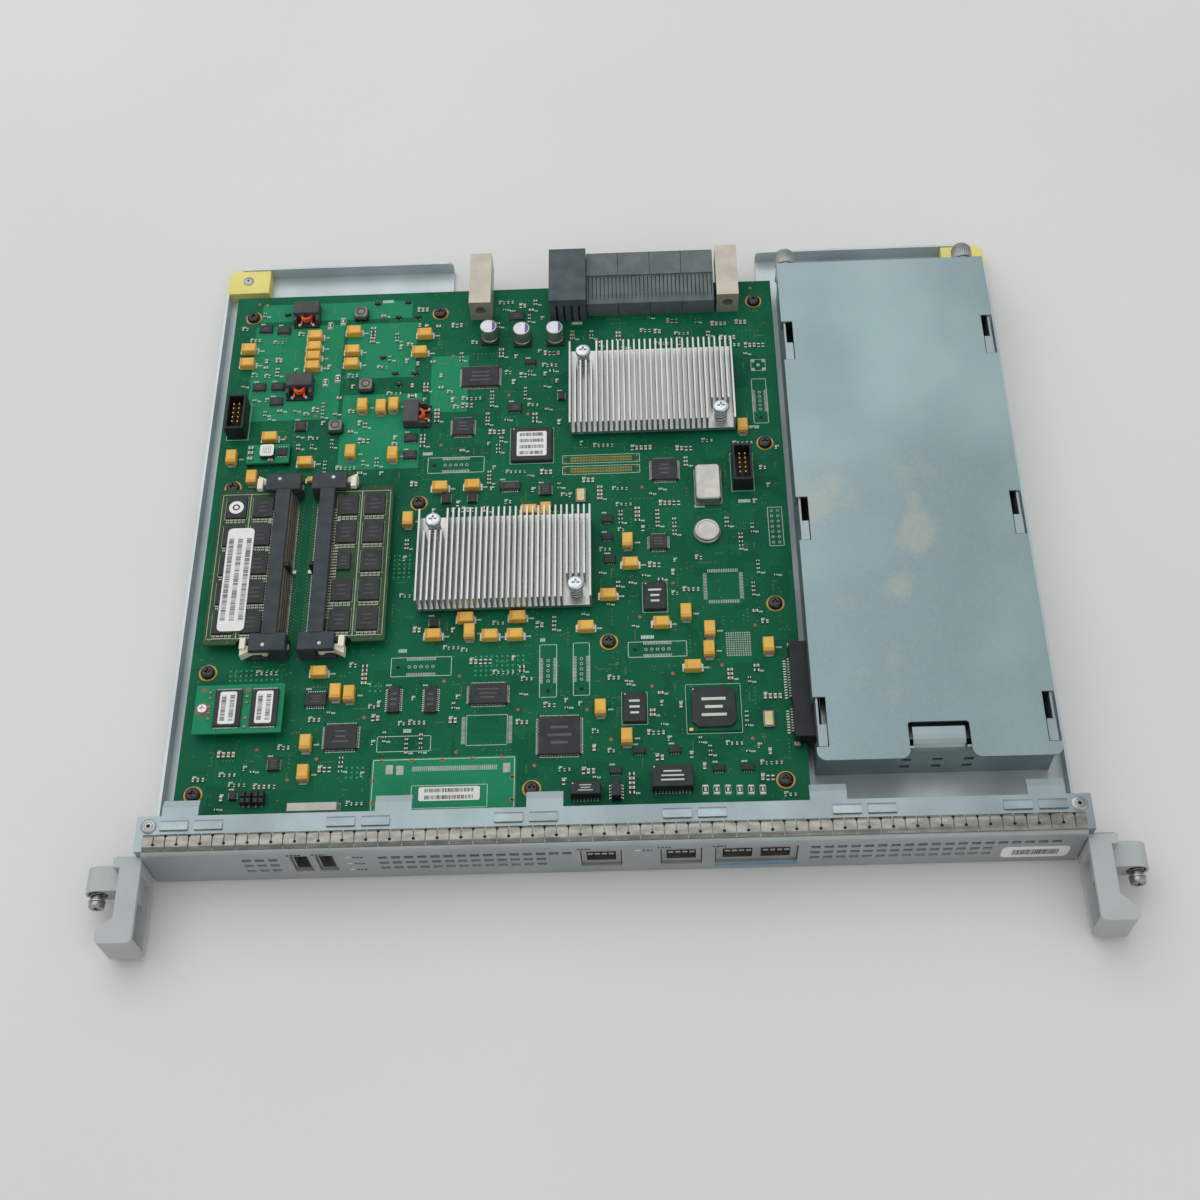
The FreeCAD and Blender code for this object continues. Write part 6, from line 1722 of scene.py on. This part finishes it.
@dataclass
class BoardDetail:
    """Copper pours, footprints, small parts, vias and plain ink marks on the board."""

    groups: int = 420
    via_rows: int = 1500
    part_pitch: float = 2.1
    tent_pitch: float = 2.3
    seed: int = 11
    ink: float = 0.03

    def __post_init__(self) -> None:
        """Start the map of free places, the seeded generator and the lists of skins."""
        self.free = FreeBoard()
        corner = self.at(*CORNER_SCREW)[:2]
        self.free.mark(corner - 4.2, corner + 4.2)
        self.chance = np.random.default_rng(self.seed)
        self.bars: list[Skin] = []
        self.pads: list[Skin] = []
        self.holes: list[Skin] = []
        self.copper: list[Skin] = []

    def at(self, x: Any, back: Any, rise: float = 0.0) -> Array:
        """Return points on the board from their X and their depth behind the panel."""
        return spread(x, LINE + np.asarray(back), BOARD_TOP + rise)

    def outline(self, place: Sequence[float], width: float, lift: float = 0.0) -> None:
        """Draw the outline of a place, given as X and depth of two corners, in ink."""
        self.bars.append(frames(self.at(*place[:2]), self.at(*place[2:], self.ink + lift), width))

    def keep_off(self, *place: float) -> None:
        """Mark a place, given as X and depth of two corners, as taken."""
        self.free.mark(self.at(*place[:2])[:2], self.at(*place[2:])[:2])

    def pad_row(self, x: Any, back: Any, *size: float) -> None:
        """Lay bare pads of one size."""
        self.pads.append(standing(self.at(x, back), size))

    def rings(self, spots: Array, radius: float, kind: list[Skin]) -> None:
        """Add plated holes: a flat ring of a kind, with a dark disc in it."""
        kind.append(washers(radius * 0.55, radius, 0.06, spots, 12))
        self.holes.append(discs(radius * 0.56, 0.035, spots, 10))

    def pours(self) -> None:
        """Lay the brighter copper areas of the power corner and the removable label patch."""
        x0, back0, x1, back1 = np.array(POURS).T
        show("board_pours", blocks(self.at(x0, back0), self.at(x1, back1, 0.02)), POUR)
        self.outline((-100.0, 22.6, -40.2, 46.0), 0.3, 0.02)
        self.outline((-83.4, 23.3, -51.4, 33.8), 0.25, 0.02)
        self.rings(self.at(*np.array(PATCH_HOLES).T), 0.95, self.copper)
        self.pad_row(np.linspace(-83, -48, 44), 41.4, 0.5, 2.2, 0.06)
        self.pad_row([-88.5, -93, -43.6], [41, 41.4, 41], 3.0, 4.2, 0.07)
        self.keep_off(-100.0, 22.6, -40.2, 46.0)

    def connector_prints(self) -> None:
        """Draw the bare connector places: an outline, two rows of fine pads and a row of holes."""
        for place in BARE_CONNECTORS:
            low, high = self.at(*place[:2]), self.at(*place[2:], self.ink)
            self.free.mark(low[:2] - 0.8, high[:2] + 0.8)
            self.outline(place, 0.25)
            size, middle = high - low, at_height((low + high) / 2, BOARD_TOP)
            run = int(size[1] > size[0])
            length = size[run] * 0.46
            fine = np.linspace(-length / 2, length / 2, 18)[:, None]
            way, across = np.eye(3)[run], np.eye(3)[1 - run]
            for edge in (-0.5, 0.5):
                centre = middle + across * size[1 - run] * edge * 0.82
                self.pads.append(standing(centre + fine * way, way * 0.42 + across * 1.7 + UP * 0.06))
            self.rings(middle + np.linspace(-length * 0.42, length * 0.42, 5)[:, None] * way, 0.75, self.pads)
            self.holes.append(discs(0.9, 0.04, middle - way * size[run] * 0.38, 12))

    def pad_fields(self) -> None:
        """Lay bare pads: an array field, fine double rows, empty package places and connector places."""
        grid = lattice(np.linspace(51.2, 61.2, 11), np.linspace(91.6, 102.7, 11))
        self.pad_row(grid[:, 0], grid[:, 1], 0.62, 0.62, 0.05)
        self.keep_off(50.2, 90.6, 62.2, 103.7)
        gold = [standing(self.at(np.linspace(-16.5, 11.5, 40), back), (0.42, 1.15, 0.05))
                for back in (198.8, 197.2, 192.6, 191.0)]
        for back in (198.0, 191.8):
            self.outline((-20.5, back - 2.4, 15.5, back + 2.4), 0.22)
            ends = self.at([-19.2, -19.2, 14.2, 14.2], back + np.array([-1.4, 1.4, -1.4, 1.4]))
            self.copper.append(discs(0.5, 0.05, ends, 10, 0.45))
        self.keep_off(-21, 188.8, 16, 201)
        show("fine_pads", joined(gold), FINE_GOLD)
        for x in (-62.4, -42.4):
            self.pad_row(x, np.linspace(52.6, 65.0, 22), 1.6, 0.36, 0.05)
        self.outline((-61.2, 51.6, -43.6, 66.0), 0.22)
        self.keep_off(-64, 51, -41, 66.5)
        steps = np.linspace(-6.5, 6.5, 18)
        for back in (118.8, 134.8):
            self.pad_row(51.0 + steps, back, 0.4, 1.7, 0.05)
        for x in (43.0, 59.0):
            self.pads.append(standing(self.at(x, 126.8) + spread(0.0, steps, 0.0), (1.7, 0.4, 0.05)))
        self.keep_off(41, 117, 61, 136.6)
        coax = self.at(73.5 + np.array([0, -2.5, 2.5, -2.5, 2.5]),
                       250.2 + np.array([0, -2.5, -2.5, 2.5, 2.5]))
        self.pads.append(discs(0.9, 0.05, coax, 12))
        self.outline((70, 246.7, 77, 253.7), 0.2)
        self.keep_off(69.6, 246, 77.4, 254)
        self.rings(self.at(np.repeat([74.6, 77.4], 7), np.tile(np.linspace(149, 166, 7), 2)), 0.7, self.pads)
        self.outline((72.8, 147, 79.4, 168), 0.22)
        self.keep_off(72, 146, 80, 169)

    def claim(self, places: Iterable[tuple[float, float]], *size: float) -> list[Array]:
        """Take the places at which a part of a size fits, in their order.

        Args:
            places: X and depth of each place
            size: length of the part along X and Y

        Returns:
            the middles of the places that were free
        """
        half = np.array(size) / 2
        return [centre for centre in (self.at(*place) for place in places)
                if self.free.take(centre[:2] - half - 0.4, centre[:2] + half + 0.4)]

    def test_points(self) -> None:
        """Lay bare copper discs and fields of covered vias."""
        self.copper.append(discs(0.8, 0.05, np.array(self.claim(TEST_POINTS, 1.4, 1.4)), 14, 0.72))
        fields = []
        for x0, back0, x1, back1 in TENTED:
            grid = lattice(np.arange(x0, x1, self.tent_pitch),
                           np.arange(back0, back1, self.tent_pitch)) + [0.0, LINE]
            cell = ((grid - self.free.low) / self.free.CELL).astype(int)
            fields.append(grid[~self.free.taken[cell[:, 0], cell[:, 1]]])
        show("tented_vias", discs(0.52, 0.025, plan(np.concatenate(fields), BOARD_TOP), 8, 0.46), TENT)

    def fixed_parts(self) -> None:
        """Lay shunts with a white mark, small transistors on three leads and quartered line filters."""
        black, ends = [], []
        for x, back, level in SHUNTS:
            long, cross = np.eye(3)[:2] if level else np.eye(3)[1::-1]
            half = (long * 4.6 + cross * 2.6) / 2
            for centre in self.claim([(x, back)], *(half * 2)[:2]):
                black.append(standing(centre, long * 3.2 + cross * 1.9 + UP * 0.6, 0.08))
                ends += [standing(centre + long * way, long * 0.8 + cross * 2.0 + UP * 0.64)
                         for way in (-1.6, 1.6)]
                self.bars += [standing(centre + UP * 0.6, long * 1.6 + cross * 0.9 + UP * 0.03),
                              frames(centre - half, centre + half + UP * self.ink, 0.22)]
        feet = np.array([[-0.95, -1.0, 0.0], [0.95, -1.0, 0.0], [0.0, 1.0, 0.0]])
        for centre in self.claim(TRANSISTORS, 3.0, 2.6):
            black.append(standing(centre + UP * 0.1, (2.9, 1.4, 1.0), 0.12))
            ends.append(standing(centre + feet, (0.45, 0.8, 0.25)))
        lumps = np.array([[dx, dy, 0.0] for dx in (-1.2, 1.2) for dy in (-1.4, 1.4)])
        for centre in self.claim(FILTERS, 4.0, 5.2):
            black += [standing(centre + lumps, (2.25, 2.6, 3.2), 0.35),
                      standing(centre, (4.6, 5.2, 2.4), 0.2)]
            ends.append(standing(centre + lumps * [1.0, 2.1, 0.0], (0.9, 0.9, 0.25)))
        show("fixed_parts", joined(black), RESISTOR)
        show("fixed_part_ends", joined(ends), TIN)

    def small_parts(self) -> None:
        """Scatter rows of small capacitors and resistors over the free board, each row with ink marks.

        A row starts at a seeded place, near a package or anywhere, and is kept where its whole
        rectangle is free.
        """
        chips = chips_of("quad_flat_packages", "grid_array_packages", "small_outline_packages", "processors",
                         "power_inductors", "network_transformers")
        spots = self.claim(LARGE_CHIPS, 2.2, 2.2)
        along = [index % 2 == 0 for index in range(len(spots))]
        sizes, kinds = [np.array([2.2, 1.4])] * len(spots), [0] * len(spots)
        for attempt in range(self.groups * 5):
            if len(spots) >= self.groups * 2:
                break
            count = int(self.chance.integers(1, 6))
            size = np.array([1.7, 0.95]) * self.chance.choice([0.8, 1.0, 1.35])
            level = bool(self.chance.integers(0, 2))
            way = 1 if level else -1
            run = np.array([size[1] + (count - 1) * self.part_pitch, size[0]])[::way]
            if attempt % 2:
                chip = chips[self.chance.integers(0, len(chips))]
                start = self.chance.uniform(chip[0, :2] - 7, chip[1, :2] + 7)
            else:
                start = self.chance.uniform(BOARD_LOW[:2] + 3, BOARD_HIGH[:2] - 3)
            if not self.free.take(start - 0.3, start + run + 0.3 + ([0.0, 1.3] if level else [2.6, 0.0])):
                continue
            for step in range(count):
                middle = start + np.array([step * self.part_pitch, 0.0])[::way] + size[::-way] / 2
                spots.append(np.append(middle, BOARD_TOP))
                along.append(level)
                sizes.append(size)
                kinds.append(int(self.chance.integers(0, 3)))
            beside = np.array([0.0, 1.0])[::way]
            self.word(start + run * beside + beside * 0.4, 3)
        self.lay_parts(np.array(spots), np.array(along), np.array(sizes), np.array(kinds))

    def lay_parts(self, spots: Array, along: Array, sizes: Array, kinds: Array) -> None:
        """Make the scattered parts: a body between two tinned ends, in one of three kinds.

        Args:
            spots: middles on the board
            along: whether a part's long axis runs along Y
            sizes: length and width of each part
            kinds: 0 and 1 are brown capacitors, 2 are black resistors
        """
        long = np.where(along[:, None], [[0, 1.0, 0]], [[1.0, 0, 0]])
        length, wide = long * sizes[:, :1], (1 - long) * FLAT * sizes[:, 1:] / 2
        tall = np.where(kinds < 2, 0.75, 0.45)[:, None] * UP
        core = length / 2 + wide - length * 0.22
        for name, picked, finish in (("capacitors", kinds < 2, CERAMIC), ("resistors", kinds == 2, RESISTOR)):
            show(f"small_{name}", blocks((spots - core)[picked], (spots + core + tall)[picked], 0.06), finish)
        tip, near, far = length * 0.15, spots - length * 0.36, spots + length * 0.36
        ends = (blocks(near - tip - wide, near + tip + wide + tall)
                + blocks(far - tip - wide, far + tip + wide + tall))
        show("small_part_ends", ends, TIN)

    def word(self, start: Array, count: int, tall: float = 0.75) -> None:
        """Add a row of short plain bars as an ink mark.

        Args:
            start: X and Y of its left front corner
            count: number of bars
            tall: height of the bars
        """
        width = self.chance.uniform(0.3, 0.55, count)
        left = start[0] + np.cumsum(np.append(0, width[:-1] + 0.18))
        self.bars.append(blocks(spread(left, start[1], BOARD_TOP),
                                spread(left + width, start[1] + tall, BOARD_TOP + self.ink)))

    def package_outlines(self) -> None:
        """Draw ink outlines round the packages and rows of marks beside the tantalum capacitors."""
        low, high = chips_of("grid_array_packages", "board_headers").swapaxes(0, 1)
        self.bars.append(frames(at_height(low - 0.8, BOARD_TOP),
                                at_height(high + 0.8, BOARD_TOP + self.ink), 0.18))
        for low, high in islands("tantalum_capacitors"):
            self.word(np.array([high[0] + 0.9, (low[1] + high[1]) / 2 - 0.4]), 4)
        for low, high in islands("small_outline_packages"):
            self.word(np.array([low[0], high[1] + 0.8]), 4)
        for x, back, count in TITLES:
            self.word(self.at(x, back), count, 1.7)
        self.outline((-99.0, 49.6, -76.0, 57.0), 0.25)

    def vias(self) -> None:
        """Scatter copper dots in short rows over the free board."""
        spots = []
        for _ in range(self.via_rows):
            shape = self.chance.permutation([1, int(self.chance.integers(1, 7))])
            step = self.chance.choice([1.0, 1.3, 1.9])
            start = self.chance.uniform(BOARD_LOW[:2] + 4, BOARD_HIGH[:2] - 4)
            size = (shape - 1) * step + 0.6
            if not self.free.taken[self.free.cells(start - 0.3, start + size)].any():
                spots.append(start + lattice(np.arange(shape[0]), np.arange(shape[1])) * step)
        show("board_vias", discs(0.26, 0.025, plan(np.concatenate(spots), BOARD_TOP), 6, 0.22), VIA_DOT)

    def build(self) -> None:
        """Make every detail of the board's upper face."""
        self.pours()
        self.connector_prints()
        self.pad_fields()
        self.package_outlines()
        self.fixed_parts()
        self.test_points()
        self.small_parts()
        self.vias()
        show("board_ink_marks", joined(self.bars), INK)
        show("board_pads", joined(self.pads), PAD)
        show("board_copper", joined(self.copper), VIA)
        show("board_holes", joined(self.holes), HOLE)


@dataclass
class PanelDetail:
    """Contacts in the ports, and the plain prints, label and tape on the front panel."""

    print_thick: float = 0.04
    lance_pitch: float = 67.6
    lance_shift: float = 7.0
    lance_half: float = 5.75
    lance_front: float = 9.0
    lance_rear: float = 13.2
    lance_rise: float = 0.8
    seed: int = 5

    def __post_init__(self) -> None:
        """Find the panel's front face and the ports' mouths."""
        self.face = span("front_panel")[0][1]
        self.mouths = [(opening["name"], *np.array(opening["box_m"]) / MM)
                       for opening in frame["record"]["physics"]["openings"]]

    def lances(self) -> tuple[Skin, Skin]:
        """Make the bracket's raised tabs, with a painted highlight along each front edge.

        A tab's height grows with the square root of the way from its rear edge to its front.

        Returns:
            the tabs, and bright nickel bars along their front edges that paint the highlight of their rounded
            noses
        """
        way = np.linspace(1.0, 0.0, 8)
        flange = span("front_bracket")[1][2] - self.lance_rise
        middle = ((np.arange(6) - 2.5)[:, None] * self.lance_pitch
                  + [-self.lance_shift, self.lance_shift]).ravel()
        depth = LINE + self.lance_rear - way * (self.lance_rear - self.lance_front + 0.05)
        height = flange + 0.06 + self.lance_rise * np.sqrt(way)
        side, under = np.array([-1.0, 1.0, 1.0, -1.0]), np.array([0.0, 0.0, 1.0, 1.0])
        across = (middle[:, None] + self.lance_half * side)[:, None]
        tabs = loft(spread(across, depth[:, None], height[:, None] * (1 - under) + (flange - 0.1) * under))
        # a bright nickel bar on each tab's front edge is a painted highlight of its rounded nose
        glint_bar = spread(middle, LINE + self.lance_front - 0.12, flange + 0.02)
        return tabs, standing(glint_bar, (self.lance_half * 2 - 0.6, 0.3, self.lance_rise), 0.1)

    def ports(self) -> tuple[Skin, Skin]:
        """Make the metal in the ports.

        Returns:
            eight spring contacts in each network jack and four on each USB tongue, and four bright
            shield tabs over the mouth of each jack
        """
        wires, tabs = [], []
        for name, low, high in self.mouths:
            wide = high[0] - low[0]
            if name.startswith("network_jack"):
                row = spread(np.linspace(low[0] + 1.6, high[0] - 1.6, 8), low[1] + 4.0, high[2] - 1.4)
                wires.append(blocks(row - [0.2, 0.0, 0.0], row + [0.2, 8.5, 0.3]))
                tab = spread(low[0] + wide * (np.arange(4) + 0.5) / 4, self.face - 0.05, high[2] + 0.25)
                tabs.append(standing(tab, (wide / 4 - 0.7, 0.3, 1.3), 0.1))
            elif name.startswith("usb"):
                z = np.linspace(low[2] + 2.2, high[2] - 2.2, 4)
                row = spread((low[0] + high[0]) / 2 + 0.8, high[1] + 0.6, z)
                wires.append(blocks(row - [0.0, 0.0, 0.45], row + [0.08, 4.0, 0.45]))
        return joined(wires), joined(tabs)

    def prints(self) -> None:
        """Print marks above the ports and beside the lights, and stick on the barcode label."""
        chance, marks, thick = np.random.default_rng(self.seed), [], self.print_thick
        for node in ("network_jacks", "usb_ports", "status_lights"):
            for low, high in islands(node):
                beside = node == "status_lights"
                count, x, z = (3, high[0] + 0.9, low[2]) if beside else (4, low[0], high[2] + 0.9)
                bar = spread(x + np.arange(count) * 1.5, self.face - thick, z)
                marks.append(blocks(bar, bar + spread(chance.uniform(0.7, 1.2, count), thick + 0.01, 1.1)))
        show("panel_marks", joined(marks), PRINT)
        label = rounded([156.6, 4.9, 0.0], [183.6, 15.4, 0.1], 2.4)
        show("panel_label", Skin(Facing.FRONT.turn(label.points) + [0.0, self.face, 0.0], label.quads), PAPER)
        x = np.linspace(161.0, 179.0, 40)
        bars_high = spread(x + chance.uniform(0.15, 0.4, 40), self.face - 0.05, 12.6)
        show("panel_label_bars", blocks(spread(x, self.face - 0.12, 7.4), bars_high), PRINT)

    def build(self) -> None:
        """Make the contacts, the lances with their painted highlights, the prints and the tape."""
        wires, tabs = self.ports()
        show("port_contacts", wires, GOLD)
        show("jack_tabs", tabs, PORT)
        lances, glint_bars = self.lances()
        show("bracket_lances", lances, LANCE, smooth=30)
        # the lances' painted highlights
        show("bracket_lips", glint_bars, NICKEL)
        self.prints()
        low, high = islands("network_jacks")[-1]
        tape_low = [low[0] + 1.0, self.face - 0.08, low[2] - 2.6]
        tape_high = [high[0] - 1.0, self.face, low[2] - 0.6]
        show("port_tape", blocks(tape_low, tape_high), TAPE)


@dataclass
class Studio:
    """The pale floor, the soft lights and the camera."""

    focal: float = 1686.3
    frame_side: float = 1200.0
    sensor: float = 36.0
    eye: tuple[float, float, float] = (18.463, -405.557, 650.590)
    forward: tuple[float, float, float] = (-0.029743, 0.512657, -0.858078)
    right: tuple[float, float, float] = (0.999137, -0.009644, -0.040394)
    light: float = 0.36
    surround: float = 0.8
    share: float = 0.5
    floor_half: float = 9000.0
    floor_drop: float = 0.3

    def floor(self) -> None:
        """Lay a wide pale sheet just under the module."""
        half, top = self.floor_half, -self.floor_drop
        skin = blocks([-half, -half, top - 1.0], [half, half, top])
        mesh = bpy.data.meshes.new("floor")
        mesh.from_pydata((skin.points * MM).tolist(), [], skin.quads.tolist())
        mesh.materials.append(material(PALE_FLOOR))
        item = bpy.data.objects.new("floor", mesh)
        bpy.context.scene.collection.objects.link(item)

    def lamp(self, name: str, place: tuple[float, float, float], size: float, power: float) -> None:
        """Hang a square soft light that points at the module's middle.

        Args:
            name: name of the light
            place: its place in metres
            size: length of its side
            power: its power in watts
        """
        data = bpy.data.lights.new(name, "AREA")
        data.size, data.energy = size, power
        item = bpy.data.objects.new(name, data)
        back = np.array(place) / np.linalg.norm(place)
        side = np.cross([0.0, 1.0, 0.001], back)
        item.matrix_world = self.matrix(side / np.linalg.norm(side), back, np.array(place))
        bpy.context.scene.collection.objects.link(item)

    def matrix(self, side: Array, back: Array, place: Array) -> Matrix:
        """Make the matrix of a lamp or a camera.

        Args:
            side: its direction to the right
            back: its direction backward
            place: its place in metres

        Returns:
            the matrix
        """
        turn = np.eye(4)
        turn[:3] = np.stack([side, np.cross(back, side), back, place], axis=1)
        return Matrix(turn.tolist())

    def world(self) -> None:
        """Set a soft grey surround between two strengths; rays through a lens get the brighter one."""
        shader = Shader(bpy.data.worlds.new("surround"))
        through = Value(shader, shader.node("ShaderNodeLightPath").outputs["Is Transmission Ray"])
        share, sky = through.math("MAXIMUM", through, self.share), "ShaderNodeBackground"
        dim, bright = (shader.node(sky, None, {"Color": (0.98, 0.99, 1.0, 1.0), "Strength": strength})
                       for strength in (self.light, self.surround))
        both = shader.node("ShaderNodeMixShader", None, {0: share, 1: dim.outputs[0], 2: bright.outputs[0]})
        shader.node("ShaderNodeOutputWorld", None, {0: both.outputs[0]})
        bpy.context.scene.world = shader.owner

    def camera(self) -> None:
        """Stand the camera where the photograph was taken from."""
        data = bpy.data.cameras.new("camera")
        data.sensor_width = self.sensor
        data.lens = self.focal / self.frame_side * self.sensor
        data.clip_start, data.clip_end = 0.01, 20.0
        item = bpy.data.objects.new("camera", data)
        item.matrix_world = self.matrix(np.array(self.right), -np.array(self.forward),
                                        np.array(self.eye) * MM)
        bpy.context.scene.collection.objects.link(item)
        bpy.context.scene.camera = item

    def build(self) -> None:
        """Set up the whole studio."""
        bpy.context.scene.view_settings.view_transform = "Standard"
        self.floor()
        self.world()
        self.lamp("key", (-0.5, 0.7, 1.5), 2.2, 15.0)
        self.lamp("fill", (0.9, -0.9, 1.0), 1.5, 2.4)
        self.camera()


def main() -> None:
    """Dress the module and set up the studio."""
    logging.basicConfig(level=logging.INFO, format="%(message)s")
    for (finish, edge), nodes in CARRIED.items():
        for node in nodes:
            CarriedPart(node, finish, edge).dress()
    SpringGasket().build()
    CaptiveScrew("left").build()
    CaptiveScrew("right").build()
    BoardFixings().build()
    Thumbscrews().build()
    DriveVentShade().build()
    ChipPackages().build()
    PowerParts().build()
    left, right = MemorySocket("left", -1.0).build(), MemorySocket("right", 1.0).build()
    for name, finish in (("combs", CONTACT), ("lines", SHROUD), ("tails", TIN), ("vias", VIA_DOT)):
        show(f"socket_{name}", left[name] + right[name], finish)
    Memory().build()
    ConverterBoard().build()
    Clocks().build()
    ConnectorDetail().build()
    Labels().build()
    BoardDetail().build()
    PanelDetail().build()
    Studio().build()


if __name__ == "__main__":
    main()
